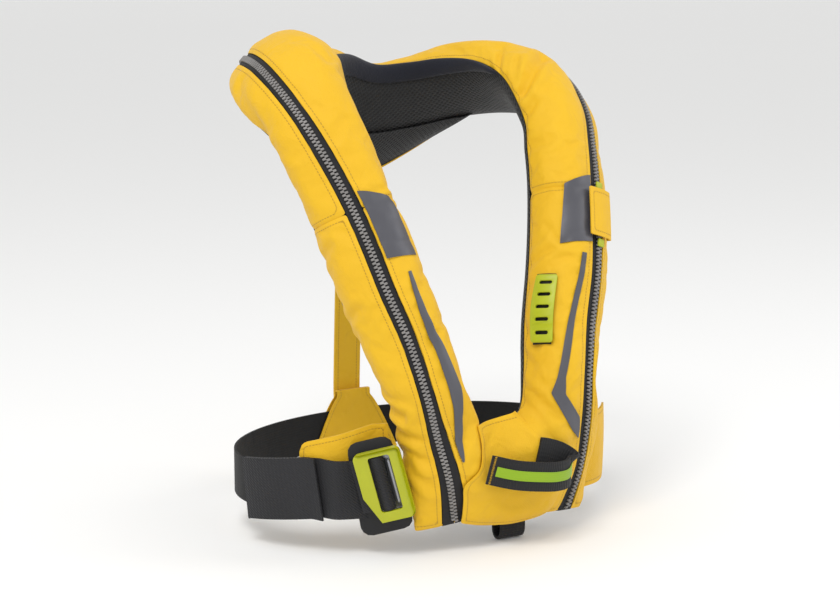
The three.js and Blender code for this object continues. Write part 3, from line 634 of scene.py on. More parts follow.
for name, s in (("upper_stop", 7.17), ("lower_stop", 8.4)):
    stop = rounded_block(name, (0.0078, 0.007, 0.0022), (0, 0, 0), 0.0007)
    stand(stop, *zip_frame(s, 0.0021))
    wear(stop, LIME_NYLON, "lime_plastic", "jacket")

# ---- Reflective trim ----
# Grey glass-bead tape, heat-sealed to the front panels: a four-cornered patch and a long kinked stripe each
# side.

REFLECTIVE_GREY, REFLECTIVE_SHADE = "#5C5C62", "#4C4C52"


def glass_bead_tape():
    # Glass beads in resin: a flat grey that brightens a little towards the light, with a fine cell pattern
    # 1.6 mm wide that the sealing roller leaves.
    material, tree, shader = new_material("glass_bead_tape", Roughness=0.46, Metallic=0.25)
    uv = node(tree, "ShaderNodeUVMap", uv_map="cloth").outputs[0]
    turned = node(tree, "ShaderNodeMapping", {"Vector": uv, "Rotation": (0, 0, math.pi / 4)}).outputs[0]
    cells = node(
        tree, "ShaderNodeTexVoronoi", {"Vector": turned, "Scale": 1 / 0.0016, "Randomness": 0.0},
        voronoi_dimensions="2D"
    ).outputs["Distance"]
    place = node(tree, "ShaderNodeTexCoord").outputs["Object"]
    tone = node(tree, "ShaderNodeTexNoise", {"Vector": place, "Scale": 26, "Detail": 3}).outputs["Fac"]
    colour = node(
        tree, "ShaderNodeMixRGB",
        {"Fac": tone, "Color1": linear(REFLECTIVE_GREY), "Color2": linear(REFLECTIVE_SHADE)}
    )
    tree.links.new(colour.outputs[0], shader.inputs["Base Color"])
    bump = node(tree, "ShaderNodeBump", {"Height": cells, "Strength": 0.25, "Distance": 0.0002})
    tree.links.new(bump.outputs[0], shader.inputs["Normal"])
    return material


GLASS_BEADS = glass_bead_tape()
STRIPES = {
    "right": [
        (8.8, 19, 22), (9.6, 14.5, 21.5), (10.3, 15.5, 25), (11.05, 16, 28), (11.4, 15.5, 25.5),
        (12.1, 10, 17), (12.65, 10, 11.5),
    ],
    "left": [
        (8.7, 13, 17), (9.2, 14, 19), (9.8, 17, 22.5), (10.5, 21, 28),
        (11.1, 24.5, 32), (11.45, 23, 36), (11.9, 10, 24), (12.35, 10, 11.5),
    ],
}


def lay_on_cover(name, side, s, across, gap, thick):
    """A thin piece laid on the front panels: it follows their broad puckers and bridges the small ones."""
    base = beside_zip(s, across)
    out = beside_zip(s, across, 0.01) - base
    out /= np.linalg.norm(out, axis=-1)[..., None]
    panels_under = [bpy.data.objects[part + "_front_cloth"] for part in (side, "collar")]
    trees = [BVHTree.FromObject(panel, bpy.context.evaluated_depsgraph_get()) for panel in panels_under]
    height = np.zeros(base.shape[:2])
    for i in np.ndindex(height.shape):
        ray = Vector(base[i] + out[i] * 0.02), Vector(-out[i]), 0.035
        reached = [tree.ray_cast(*ray)[3] for tree in trees]
        height[i] = 0.02 - min([r for r in reached if r is not None], default=0.02)
    for blend in (np.maximum, np.maximum, lambda a, b: (a + b) / 2, lambda a, b: (a + b) / 2):
        for axis in (0, 1):
            wide = np.take(height, [0, *range(height.shape[axis]), height.shape[axis] - 1], axis)
            low, high = (np.take(wide, range(k, height.shape[axis] + k), axis) for k in (0, 2))
            height = blend(height, blend(low, high))
    piece = grid_mesh(name, (base + out * (height + gap)[..., None])[:: -1 if side == "right" else 1])
    apply_modifier(piece, "SOLIDIFY", thickness=thick, offset=1)
    smooth(piece, 50)
    return piece


for side, sign in (("right", -1), ("left", 1)):
    s, share = np.meshgrid(np.linspace(6.95, 8.42, 40), np.linspace(0, 1, 24), indexing="ij")
    bow = 0.0006 * np.sin(math.pi * (s - 6.95) / 1.47)
    slant = s + 0.3 * share - 0.2 * np.maximum(s - 7.6, 0) * share
    across = 0.0075 + share * (0.0244 + (s - 7) * 0.004 + bow)
    patch = lay_on_cover("patch_" + side, side, sign * slant, across, 0.0003, 0.0005)
    rows = np.array(STRIPES[side])
    k = np.linspace(0, len(rows) - 1, 90)
    at, near, far = (np.interp(k, np.arange(len(rows)), rows[:, j]) for j in range(3))
    share = np.linspace(0, 1, 9)
    across = (near[:, None] * (1 - share) + far[:, None] * share) / 1000
    stripe = lay_on_cover("stripe_" + side, side, sign * at[:, None] + 0 * across, across, 0.0003, 0.0005)
    for piece, target in ((patch, "reflective_patch_"), (stripe, "reflective_stripe_")):
        wear(piece, GLASS_BEADS, "reflective_tape", "jacket", target + side)

# ---- The mesh against the wearer ----
# Knitted spacer mesh, 3 mm thick, black. It lines the whole cover and lets air and sweat through its holes.


def spacer_mesh():
    # Knitted polyester, matt black, with round holes 3.4 mm apart in offset rows and threads that catch the
    # light.
    material, tree, shader = new_material(
        "spacer_mesh", Roughness=0.6, Sheen_Weight=0.12, Sheen_Roughness=0.3
    )
    uv = node(tree, "ShaderNodeUVMap", uv_map="cloth").outputs[0]
    turned = node(tree, "ShaderNodeMapping", {"Vector": uv, "Rotation": (0, 0, math.pi / 4)}).outputs[0]
    cells = node(
        tree, "ShaderNodeTexVoronoi", {"Vector": turned, "Scale": 1 / 0.0034, "Randomness": 0.0},
        voronoi_dimensions="2D"
    ).outputs["Distance"]
    hole = node(tree, "ShaderNodeMapRange", {0: cells, 1: 0.26, 2: 0.44, 3: 0.0, 4: 1.0}).outputs[0]
    knit = thread_wave(tree, uv, "Y", 0.0011).outputs["Fac"]
    thread = calc(tree, "MULTIPLY", hole, calc(tree, "ADD", calc(tree, "MULTIPLY", knit, 0.5), 0.5))
    colour = node(
        tree, "ShaderNodeMixRGB", {"Fac": thread, "Color1": linear("#030303"), "Color2": linear("#1A1A1B")}
    )
    tree.links.new(colour.outputs[0], shader.inputs["Base Color"])
    bump = node(tree, "ShaderNodeBump", {"Height": thread, "Strength": 0.8, "Distance": 0.0009})
    tree.links.new(bump.outputs[0], shader.inputs["Normal"])
    return material


SPACER = spacer_mesh()
for part, (start, end) in REACHES.items():
    reach = np.linspace(start, end, 96 if part != "collar" else 190)
    around = np.linspace(NECK_EDGE + 1, 360 + OUTER_EDGE - 0.4, 26)
    edge_sink = -0.001 * np.exp(-((np.minimum(around - around[0], around[-1] - around) / 4) ** 2))
    lining = grid_mesh(part + "_lining", on_cover(reach[:, None], around[None, :], edge_sink[None, :]))
    sewn(lining, 0.003, -1, 60, SPACER, "spacer_mesh", "jacket", part + "_mesh_lining")

# ---- The neck ----
# A navy fleece pad is sewn on the mesh behind the neck. Below the collar a yoke of mesh backed with the
# polyester comes down to the back strap, its lower edge bound with a folded strip of the polyester.


def brushed_fleece():
    # Knitted polyester brushed to a short pile: navy, no gloss, pale at grazing angles, with tufts 1.5 mm
    # across.
    material, tree, shader = new_material(
        "brushed_fleece", Roughness=0.95, Sheen_Weight=0.15, Sheen_Roughness=0.5
    )
    place = node(tree, "ShaderNodeTexCoord").outputs["Object"]
    tufts = node(tree, "ShaderNodeTexNoise", {"Vector": place, "Scale": 650, "Detail": 3}).outputs["Fac"]
    nap = node(tree, "ShaderNodeTexNoise", {"Vector": place, "Scale": 35, "Detail": 3}).outputs["Fac"]
    colour = node(
        tree, "ShaderNodeMixRGB", {"Fac": nap, "Color1": linear("#0B0D17"), "Color2": linear("#131625")}
    )
    tree.links.new(colour.outputs[0], shader.inputs["Base Color"])
    pile = node(tree, "ShaderNodeBump", {"Height": tufts, "Strength": 0.6, "Distance": 0.0008}).outputs[0]
    lie = node(
        tree, "ShaderNodeBump", {"Height": nap, "Strength": 0.5, "Distance": 0.003, "Normal": pile}
    ).outputs[0]
    tree.links.new(lie, shader.inputs["Normal"])
    return material


FLEECE = brushed_fleece()
s, share = np.meshgrid(np.linspace(-3.7, 3.7, 100), np.linspace(0, 1, 24), indexing="ij")
rounding = np.minimum(1, np.minimum(3.7 - np.abs(s), 0.3) / 0.3)
crown = 0.0012 + 0.0042 * (np.sin(math.pi * share) ** 0.5) * rounding**0.5
fleece = grid_mesh("fleece_pad", on_cover(s, 197.5 + share * (6.5 + 34 * (1 - np.abs(s / 3.7) ** 3)), crown))
sewn(fleece, 0.0011, -1, 60, FLEECE, "fleece", "jacket", "neck_fleece")


def on_yoke(s, share, offset, start=-12):
    """Places on the yoke: s runs round the collar, share from the collar down to the bound edge."""
    s, share, offset = np.broadcast_arrays(
        np.asarray(s, float), np.asarray(share, float), np.asarray(offset, float)
    )
    # Its ends are sewn in under the collar.
    tucked = np.clip((np.abs(s) - 2.05) / 0.65, 0, 1) ** 2
    top = on_cover(s, start, 0.002 - 0.016 * tucked)
    share = share * (1 - 0.92 * tucked)
    x = s / 3.6 * 0.128
    away = (np.abs(x) / 0.137) ** 1.25
    bottom = np.stack([x, 0.121 - 0.026 * away, 0.294 + 0.077 * away], -1)
    place = top * (1 - share[..., None]) + bottom * share[..., None]
    place[..., 1] += offset
    return place


around, down = np.linspace(-2.75, 2.75, 90)[:, None], np.linspace(0.01, 1, 20)[None, :]
yoke_mesh = grid_mesh(
    "yoke_lining", on_yoke(around, down, -0.0004 - 0.002 * np.sin(math.pi * down), 312)[:, ::-1]
)
sewn(yoke_mesh, 0.0014, 0, 60, SPACER, "spacer_mesh", "jacket", "yoke_mesh")
yoke_back = grid_mesh(
    "yoke_back", on_yoke(around, np.linspace(0.01, 1, 24)[None, :], 0.0036 + 0.0004 * np.sin(around * 9))
)
sewn(yoke_back, 0.0008, -1, 60, POLYESTER, "cover_fabric", "jacket", "yoke_cover")
turn = np.radians(np.linspace(0, 180, 9))
ys = np.concatenate([[-0.0026] * 3, 0.0009 - 0.0035 * np.cos(turn), [0.0044] * 3])
drops = np.concatenate([[0.95, 0.97, 0.985], 1 + 0.014 * np.sin(turn), [0.985, 0.97, 0.95]])
binding = grid_mesh("yoke_binding", on_yoke(around, drops[None, :], ys[None, :], 312)[:, ::-1])
sewn(binding, 0.0004, 0, 60, POLYESTER, "cover_fabric", "jacket")

# ---- The back strap and its sleeve ----
# The polyester again, doubled and sewn as a 28 mm strap from the yoke down to a flared sleeve, which the belt
# runs through so that it can't ride up.


def path_frame(points, count, up):
    """Points along a smooth path given in mm, and the way across it at each from a rough up."""
    points, t = np.asarray(points, float) / 1000, np.linspace(0, 1, count)
    along = along_curve(points, t + 0.004) - along_curve(points, t - 0.004)
    along /= np.linalg.norm(along, axis=1)[:, None]
    across = np.asarray(up, float) - (along @ np.asarray(up, float))[:, None] * along
    return along_curve(points, t), across / np.linalg.norm(across, axis=1)[:, None]


def ribbon(name, points, up, low, high, thick, cell=0.003):
    """A flat strap of an even thickness along a path. low and high are its edges, in metres across the
    path."""
    length = np.linalg.norm(np.diff(np.asarray(points, float), axis=0), axis=1).sum() / 1000
    middle, across = path_frame(points, int(length / cell) + 2, up)
    columns = np.linspace(low, high, max(5, int((high - low) / 0.004)))
    piece = grid_mesh(name, middle[:, None] + across[:, None] * columns[None, :, None])
    apply_modifier(piece, "SOLIDIFY", thickness=thick, offset=0)
    smooth(piece, 50)
    return piece


STRAP_LINE = [(0, 127.1, 306), (-1, 128.6, 250), (-2, 131.1, 180), (-3, 133.2, 100), (-3, 133.0, 80)]
strap = ribbon("strap_cloth", STRAP_LINE, (1, 0, 0), -0.014, 0.014, 0.0021)
wear(strap, POLYESTER, "cover_fabric", "jacket", "back_strap")


def on_waist(angle, height, offset):
    """Places round the waist: 0 degrees is the front, positive towards the wearer's left."""
    angle, height, offset = np.broadcast_arrays(*(np.asarray(x, float) for x in (angle, height, offset)))
    flatter = np.clip((np.abs(angle) - 32) / 20, 0, 1)
    depth = 0.113 + 0.0135 * flatter**2 * (3 - 2 * flatter)
    a = np.radians(angle)
    return np.stack([(0.175 + offset) * np.sin(a), -(depth + offset) * np.cos(a), height], -1)


loop = np.linspace(0, 2 * math.pi, 61)
heights = 0.059 - 0.0305 * np.sign(np.cos(loop)) * np.abs(np.cos(loop)) ** 0.5
sides = np.linspace(-1, 1, 40)
wide = 0.018 + 0.029 * np.clip((0.083 - heights) / 0.054, 0, 1) ** 0.8
swell = np.where(np.sin(loop) > 0, 0.0032, -0.0008) + 0.001 * np.sin(loop)
sleeve_places = on_waist(
    180 + np.degrees(wide[:, None] * sides[None, :] / 0.175), heights[:, None], swell[:, None]
)
sleeve = grid_mesh("sleeve_cloth", sleeve_places)
sewn(sleeve, 0.001, -1, 60, POLYESTER, "cover_fabric", "jacket", "belt_sleeve")

# ---- The belt ----
# Black woven elastic, 38 mm wide, runs round the back and behind the lobes. On the wearer's right it is
# joined to 50 mm polyester webbing, whose spare end is folded back over itself as a flap to pull.

ELASTIC = woven_cloth(
    "woven_elastic", "#08080A", "#040404", None, 0.0014, "rib", 0.0003, 0.05, 0.2, Roughness=0.85
)
WEBBING = woven_cloth(
    "polyester_webbing", "#2C2C31", "#050506", None, 0.0028, "diagonal", 0.0009, 0.05, 0.15, Roughness=0.7
)


def waist_band(name, start, end, low, high, offset, thick, cell=0.004):
    length = 0.155 * abs(math.radians(end - start))
    angle = np.linspace(start, end, int(length / cell) + 2)[:, None]
    height = np.linspace(low, high, max(5, int((high - low) / cell)))[None, :]
    base = offset(angle) if callable(offset) else offset
    piece = grid_mesh(name, on_waist(angle, height, base + thick / 2))
    apply_modifier(piece, "SOLIDIFY", thickness=thick, offset=0)
    smooth(piece, 50)
    return piece


for name, start, end in (("rear_belt", 30, 284), ("front_strap", -31, 29)):
    belt = waist_band(name + "_elastic", start, end, 0.032, 0.070, 0.0002, 0.002)
    wear(belt, ELASTIC, "elastic", "jacket", name)


def lift(angle):
    step = np.clip((angle + 57) / 12, 0, 1)
    return 0.003 + 0.011 * step**2 * (3 - 2 * step)


def lean(places_angle, height):
    """The webbing hangs a little: it leans towards the front at the bottom and drops towards the back."""
    share = (height - 0.033) / 0.05
    drop = 0.009 * np.clip((-57 - places_angle) / 27, 0, 1)
    return places_angle + 3.4 * (0.5 - share), height - drop


angle, height = np.meshgrid(np.linspace(-85, -37.5, 46), np.linspace(0.033, 0.083, 14), indexing="ij")
turned, dropped = lean(angle, height)
webbing = grid_mesh("webbing_run", on_waist(turned, dropped, np.minimum(lift(turned), 0.0135) + 0.0011))
sewn(webbing, 0.0022, 0, 50, WEBBING, "webbing", "jacket", "belt_webbing")
# The flap goes back along the belt, turns at the fold and comes forward again over itself.
bend = np.radians(np.linspace(-90, 90, 9))
flap_angle = np.concatenate(
    [np.linspace(-55, -83.6, 36), -83.6 - 0.55 * np.cos(bend), np.linspace(-83.6, -53, 38)]
)
flap_layer = np.concatenate([np.full(36, 0.0011), 0.00225 + 0.00115 * np.sin(bend), np.full(38, 0.0034)])
flap_turned, flap_height = lean(flap_angle[:, None], np.linspace(0.0315, 0.0835, 14)[None, :])
flap_places = on_waist(flap_turned, flap_height, lift(flap_turned) + 0.0031 + flap_layer[:, None])
flap = grid_mesh("webbing_flap", flap_places)
sewn(flap, 0.0019, 0, 50, WEBBING, "webbing", "jacket", "belt_tail")

# ---- The wings ----
# Doubled polyester flaps sewn into the backs of the lobes. They carry the belt's ends and spread its pull.


def wing(name, start, end, low, high, offset, node_name):
    angle, share = np.linspace(start, end, 36), np.linspace(0, 1, 24)[None, :]
    bottom, top = low(angle)[:, None], high(angle)[:, None]
    swell = 0.0007 * np.sin(math.pi * share) + np.zeros((36, 1))
    piece = grid_mesh(
        name, on_waist(angle[:, None], (bottom * (1 - share) + top * share) / 1000, offset + swell)
    )
    sewn(piece, 0.002, -1, 60, POLYESTER, "cover_fabric", "jacket", node_name)


def corner(angle, end, radius):
    inward = np.clip(np.abs(end - angle) * math.pi * 175 / 180, 0, radius)
    return radius - np.sqrt(radius**2 - (radius - inward) ** 2)


wing(
    "left_wing", 38, 63, lambda a: 27 + corner(a, 63, 26), lambda a: 94 - corner(a, 63, 5), 0.005, "wing_left"
)
wing(
    "right_wing", -61, -31, lambda a: 37 + corner(a, -61, 8),
    lambda a: np.interp(a, [-60, -36], [95, 111]) - corner(a, -61, 8), 0.0022, "wing_right",
)

# ---- The buckle ----
# A cast plate, powder-coated lime, hooks over a stainless plate on the other belt end. The webbing comes up
# through the slot in it and turns back, and a rubber pad behind keeps both off the wearer.

BUCKLE_AXES = ((0.79, -0.56, 0.25), (-0.235, 0.1, 0.967), (-0.566, -0.823, -0.053))
buckle_turn = Matrix([Vector(axis).normalized() for axis in BUCKLE_AXES]).transposed().to_4x4()
BUCKLE = Matrix.Translation((-0.109, -0.124, 0.065)) @ buckle_turn
# Powder coat on cast zinc: even lime with a light orange peel 1.5 mm across and a satin gloss.
POWDER_COAT = moulded(
    "lime_powder_coat", "#B0B403", "#A4A800", 0.36, 0.0015, 0.00012, IOR=1.5, Coat_Weight=0.25,
    Coat_Roughness=0.2
)
# Moulded nitrile rubber, black and matt.
RUBBER = moulded("nitrile_rubber", "#18181A", "#101012", 0.7, IOR=1.52)


def brushed_steel():
    # Brushed stainless steel: grey, with fine scratches 0.3 mm apart along the plate that spread its
    # highlights.
    material, tree, shader = new_material("brushed_steel", Metallic=1.0)
    place = node(tree, "ShaderNodeTexCoord").outputs["Object"]
    streaks = node(tree, "ShaderNodeMapping", {"Vector": place, "Scale": (1, 1, 0.06)}).outputs[0]
    scratch = node(tree, "ShaderNodeTexNoise", {"Vector": streaks, "Scale": 3300, "Detail": 2}).outputs["Fac"]
    colour = node(
        tree, "ShaderNodeMixRGB", {"Fac": scratch, "Color1": linear("#8E9094"), "Color2": linear("#A9ABAE")}
    )
    tree.links.new(colour.outputs[0], shader.inputs["Base Color"])
    spread = node(tree, "ShaderNodeMapRange", {0: scratch, 3: 0.28, 4: 0.44}).outputs[0]
    tree.links.new(spread, shader.inputs["Roughness"])
    return material


STEEL = brushed_steel()


def upright_edges(block, pick):
    """Selects the block's edges that run along z and whose middle passes the test, in edit mode."""
    select_only(block)
    for edge in block.data.edges:
        a, b = (block.data.vertices[i].co for i in edge.vertices)
        edge.select = abs(a.x - b.x) + abs(a.y - b.y) < 1e-6 and pick((a + b) / 2)
    for face in block.data.polygons:
        face.select = False
    for vertex in block.data.vertices:
        vertex.select = False
    bpy.ops.object.mode_set(mode="EDIT")
    bpy.ops.mesh.select_mode(type="EDGE")


def plate(name, low, high, radius, pick=lambda at: True, segments=6):
    """A flat plate between two corners in the buckle's axes, with its upright corners rounded."""
    low, high = Vector(low) / 1000, Vector(high) / 1000
    deselect()
    bpy.ops.mesh.primitive_cube_add(size=1, location=(low + high) / 2)
    piece = bpy.context.object
    piece.name = piece.data.name = name
    piece.scale = high - low
    bpy.ops.object.transform_apply(location=True, scale=True)
    upright_edges(piece, pick)
    bpy.ops.mesh.bevel(offset=radius / 1000, segments=segments, affect="EDGES")
    bpy.ops.object.mode_set(mode="OBJECT")
    return piece


def cut_away(piece, tool):
    apply_modifier(piece, "BOOLEAN", operation="DIFFERENCE", object=tool, solver="EXACT")
    bpy.data.objects.remove(tool)


buckle = plate("buckle_casting", (-20, -31, -1.5), (20, 31, 1.5), 5, lambda at: at.x > 0 or at.y > 0)
for nook, edge in (((-20, -7), (-11, -28)), ((-11, -28), (-6, -31))):
    upright_edges(buckle, lambda at: False)
    bpy.ops.mesh.select_all(action="SELECT")
    a, b = Vector((*nook, 0)) / 1000, Vector((*edge, 0)) / 1000
    bpy.ops.mesh.bisect(
        plane_co=a, plane_no=(b - a).cross(Vector((0, 0, 1))), use_fill=True, clear_outer=True
    )
    bpy.ops.object.mode_set(mode="OBJECT")
cut_away(buckle, plate("slot_tool", (-8, -22.5, -4), (10.5, 26, 4), 2.5))
apply_modifier(buckle, "BEVEL", width=0.0009, segments=3, limit_method="ANGLE", angle_limit=math.radians(35))
smooth(buckle)
stand(buckle, BUCKLE, (0, 0, 0))
wear(buckle, POWDER_COAT, "plate_paint", "buckle", "buckle_plate")

pad = plate("buckle_backing", (-25, -44, -14.5), (14, 38, -11.5), 9, segments=3)
for v in pad.data.vertices:
    # It is wider at the foot, on the webbing's side.
    v.co.x -= 0.006 * min(max((0.02 - v.co.y) / 0.05, 0), 1) * (v.co.x < 0)
apply_modifier(pad, "BEVEL", width=0.0009, segments=2, limit_method="ANGLE", angle_limit=math.radians(35))
smooth(pad)
stand(pad, BUCKLE, (0, 0, 0))
wear(pad, RUBBER, "black_rubber", "jacket", "buckle_pad")

hook = plate("hook_plate", (-13, -24, -10.4), (16, 26, -8.4), 3)
lip = plate("hook_lip", (7.2, -18, -8.6), (9.2, 20, -2.9), 0.6, segments=2)
apply_modifier(hook, "BOOLEAN", operation="UNION", object=lip, solver="EXACT")
bpy.data.objects.remove(lip)
apply_modifier(hook, "BEVEL", width=0.0004, segments=2, limit_method="ANGLE", angle_limit=math.radians(35))
smooth(hook)
stand(hook, BUCKLE, (0, 0, 0))
wear(hook, STEEL, "steel", "jacket", "buckle_hook_plate")

turn_line = [
    (-24, 0, -6.6), (-17, 0, -5.4), (-11, 0, -4.6), (-6.5, 0, -2.6), (-3, 0, 0.4), (0.5, 0, 0.2),
    (3.6, 0, -3.4)
]
turn_web = ribbon("webbing_turn", turn_line, (0, 1, 0), -0.0215, 0.025, 0.0021, 0.0015)
stand(turn_web, BUCKLE, (0, 0, 0))
wear(turn_web, WEBBING, "webbing", "jacket", "buckle_webbing_turn")

# ---- The overlap between the lobes ----
# A wide flap of the polyester at the foot of the left lobe crosses to the right lobe and closes the front. It
# is stitched along the right lobe's zip and to the left lobe, and it lies smoothly over the hollow between
# them.

OVERLAP_LEFT = [(-43, 27), (-44, 48), (-45.6, 61), (-37, 69), (-30, 77), (-27.5, 92), (-30, 110)]
OVERLAP_RIGHT = [(48.6, 26), (57, 38), (64, 50), (67, 66), (42, 85), (28, 98), (15, 115)]


def front_of(objects, x, z):
    """How far forward a set of pieces comes at places x, z, or nan where there is nothing."""
    trees = [BVHTree.FromObject(o, bpy.context.evaluated_depsgraph_get()) for o in objects]
    found = np.full(x.shape, np.nan)
    for i in np.ndindex(x.shape):
        hits = [t.ray_cast((x[i], -0.4, z[i]), (0, 1, 0))[0] for t in trees]
        hits = [h.y for h in hits if h]
        found[i] = min(hits) if hits else np.nan
    return found


rows = np.linspace(0, 1, 40)
left_edge = along_curve(np.array([(x, 0, z) for x, z in OVERLAP_LEFT]) / 1000, rows)
right_edge = along_curve(np.array([(x, 0, z) for x, z in OVERLAP_RIGHT]) / 1000, rows)
share = np.linspace(0, 1, 46)[None, :, None]
flat = left_edge[:, None] * (1 - share) + right_edge[:, None] * share
x, z = flat[..., 0], flat[..., 2]
z = z - 0.0075 * np.sin(math.pi * share[..., 0]) * (1 - rows[:, None]) ** 2
under = [
    side + part for side in ("right_", "left_") for part in ("front_cloth", "side_cloth")
] + ["zip_tape_neck"]
lobes = [bpy.data.objects[name] for name in under]
y = front_of(lobes, x, np.maximum(z, 0.034))
for row in y:
    known = ~np.isnan(row)
    row[~known] = np.interp(np.nonzero(~known)[0], np.nonzero(known)[0], row[known])
for _ in range(60):
    blurred = y.copy()
    blurred[:, 1:-1] = (y[:, :-2] + y[:, 2:]) / 2
    blurred[1:-1] = (blurred[:-2] + blurred[2:] + 2 * blurred[1:-1]) / 4
    y = np.minimum(y, blurred)
sunk = np.clip((share[..., 0] - 0.84) / 0.16, 0, 1) ** 2
y = y - 0.0012 + 0.0042 * sunk + 0.009 * (np.clip(0.034 - z, 0, None) / 0.016) ** 2
# Soft folds fan out from the seam by the right lobe's zip.
for (x0, z0), (x1, z1), depth, wide in (
    ((-40, 52), (8, 36), 1.4, 5), ((-36, 44), (-2, 26), 1.2, 4), ((-34, 62), (-6, 56), 1.0, 5),
    ((20, 40), (46, 34), 0.8, 5),
    ((-24, 88), (-8, 104), 1.2, 5), ((6, 92), (20, 106), 0.9, 5),
):
    a, b = np.array([x0, z0]) / 1000, np.array([x1, z1]) / 1000
    point = np.stack([x, z], -1) - a
    t = np.clip((point @ (b - a)) / ((b - a) @ (b - a)), 0, 1)
    distance = np.linalg.norm(point - t[..., None] * (b - a), axis=-1)
    y += depth / 1000 * (
        np.exp(-((distance / wide * 1000) ** 2)) - 0.5 * np.exp(-((distance / wide / 2 * 1000) ** 2))
    )
overlap = grid_mesh("chest_overlap", np.stack([x, y, z], -1)[:, ::-1])
# Its seam to the left lobe is turned in, so that no stitching shows there.
hidden = np.broadcast_to(share[..., 0] > 0.9, x.shape)[:, ::-1].ravel()
edge = np.zeros(len(hidden), np.float32)
overlap.data.attributes["edge"].data.foreach_get("value", edge)
overlap.data.attributes["edge"].data.foreach_set("value", np.where(hidden, 0.02, edge))
apply_modifier(overlap, "SUBSURF", levels=1, render_levels=1)
sewn(overlap, 0.001, -1, 60, POLYESTER, "cover_fabric", "jacket")

# ---- The harness loop ----
# Ribbed 25 mm webbing with a woven lime stripe, sewn across the left lobe as a loop that a tether hooks into.
# Its ends are tacked to the panel with dense yellow zigzag.

LOOP_WEBBING = woven_cloth(
    "ribbed_webbing", "#1B1B1E", "#060607", None, 0.0022, "rib", 0.0007, 0.05, 0.1, Roughness=0.7
)
LIME_TAPE = woven_cloth(
    "lime_woven_tape", "#9CBE14", "#7CA008", None, 0.0011, "rib", 0.0002, 0.2, 0.05, Roughness=0.6
)
HARNESS_LINE = [
    (-25, -154, 74), (-5, -165, 69), (15, -172, 66.5), (33, -172, 64.5), (47, -167, 65),
    (53, -160, 70), (45.5, -157, 76.5), (32, -157, 82), (23, -157, 84),
]


def centripetal(points, count):
    """The path of a strap through its points, spaced by the roots of their distances, as a strap bends."""
    p = np.asarray(points, float)
    p = np.concatenate([[2 * p[0] - p[1]], p, [2 * p[-1] - p[-2]]])
    out = []
    for t in np.linspace(0, len(points) - 1, count):
        i = min(int(t), len(points) - 2)
        w = t - i
        a, b, c, d = p[i : i + 4]
        gap = [max(np.linalg.norm(y - x) ** 0.5, 1e-4) for x, y in ((a, b), (b, c), (c, d))]
        m1 = ((b - a) / gap[0] - (c - a) / (gap[0] + gap[1]) + (c - b) / gap[1]) * gap[1]
        m2 = ((c - b) / gap[1] - (d - b) / (gap[1] + gap[2]) + (d - c) / gap[2]) * gap[1]
        out.append(b + m1 * w + (3 * (c - b) - 2 * m1 - m2) * w**2 + (2 * (b - c) + m1 + m2) * w**3)
    return np.array(out)


def harness_ribbon(name, start, end, half, offset, thick):
    line = centripetal(HARNESS_LINE, 241) / 1000
    along = np.gradient(line, axis=0)
    along /= np.linalg.norm(along, axis=1)[:, None]
    up = np.array([0.06, 0.05, 1.0]) - along[:, 2:] * along
    up /= np.linalg.norm(up, axis=1)[:, None]
    out = np.cross(along, up)
    out /= np.linalg.norm(out, axis=1)[:, None]
    keep = slice(int(240 * start), int(240 * end) + 1, 4)
    columns = np.linspace(-half, half, 11 if half > 0.01 else 5)
    places = (line + out * offset)[keep, None] + up[keep, None] * columns[None, :, None]
    piece = grid_mesh(name, places)
    apply_modifier(piece, "SOLIDIFY", thickness=thick, offset=0)
    smooth(piece, 50)
    return piece


harness = harness_ribbon("harness_webbing", 0, 1, 0.0125, 0, 0.0022)
wear(harness, LOOP_WEBBING, "webbing", "harness", "harness_loop")
stripe = harness_ribbon("harness_stripe", 1 / 30, 0.7, 0.0042, 0.0017, 0.0005)
wear(stripe, LIME_TAPE, "lime_tape", "harness", "harness_loop_stripe")

# ---- The crotch strap's loop ----
# A 25 mm webbing loop sewn under the left lobe's hem for the crotch strap.

HANG = [
    (-118, 26), (-123.6, 20), (-124.2, 8), (-121.5, 2.2), (-118, 1.2), (-114.5, 2.2), (-111.8, 8),
    (-112.4, 20),
    (-115.8, 26),
]
hang = [(19, y, z) for y, z in HANG]
crotch = ribbon("crotch_webbing", hang, (1, 0, 0), -0.0125, 0.0125, 0.0021, 0.002)
wear(crotch, LOOP_WEBBING, "webbing", "crotch", "crotch_loop")

# ---- The accessory ladder ----
# A bowed strip of lime nylon with five slots, for clipping on a light or a whistle, over a small rubber
# backing.

FROM, TO = 9.22, 10.48
ladder_length = float(np.linalg.norm(beside_zip(TO, 0.047) - beside_zip(FROM, 0.047)))
half_length = ladder_length * 500
ladder = plate("ladder_strip", (-9.5, -half_length, 0), (9.5, half_length, 2.2), 2.5, segments=4)
for k in range(5):
    y = (k - 2) * half_length * 0.37
    cut_away(ladder, plate("rung_tool", (-5.5, y - 1.6, -3), (5.5, y + 1.6, 5), 1.55, segments=4))
apply_modifier(ladder, "BEVEL", width=0.0004, segments=2, limit_method="ANGLE", angle_limit=math.radians(35))
upright_edges(ladder, lambda at: False)
for y in np.linspace(-half_length, half_length, 22)[1:-1]:
    bpy.ops.mesh.select_all(action="SELECT")
    bpy.ops.mesh.bisect(plane_co=(0, y / 1000, 0), plane_no=(0, 1, 0))
bpy.ops.object.mode_set(mode="OBJECT")
flat = np.array([v.co for v in ladder.data.vertices])
at = FROM + (TO - FROM) * (flat[:, 1] / ladder_length + 0.5)
bow = 0.0022 + 0.003 * np.sin(math.pi * (at - FROM) / (TO - FROM))
bent = beside_zip(at, 0.0475 - flat[:, 0], bow + flat[:, 2])
ladder.data.vertices.foreach_set("co", bent.astype(np.float32).ravel())
smooth(ladder)
wear(ladder, LIME_NYLON, "lime_plastic", "jacket", "accessory_ladder")
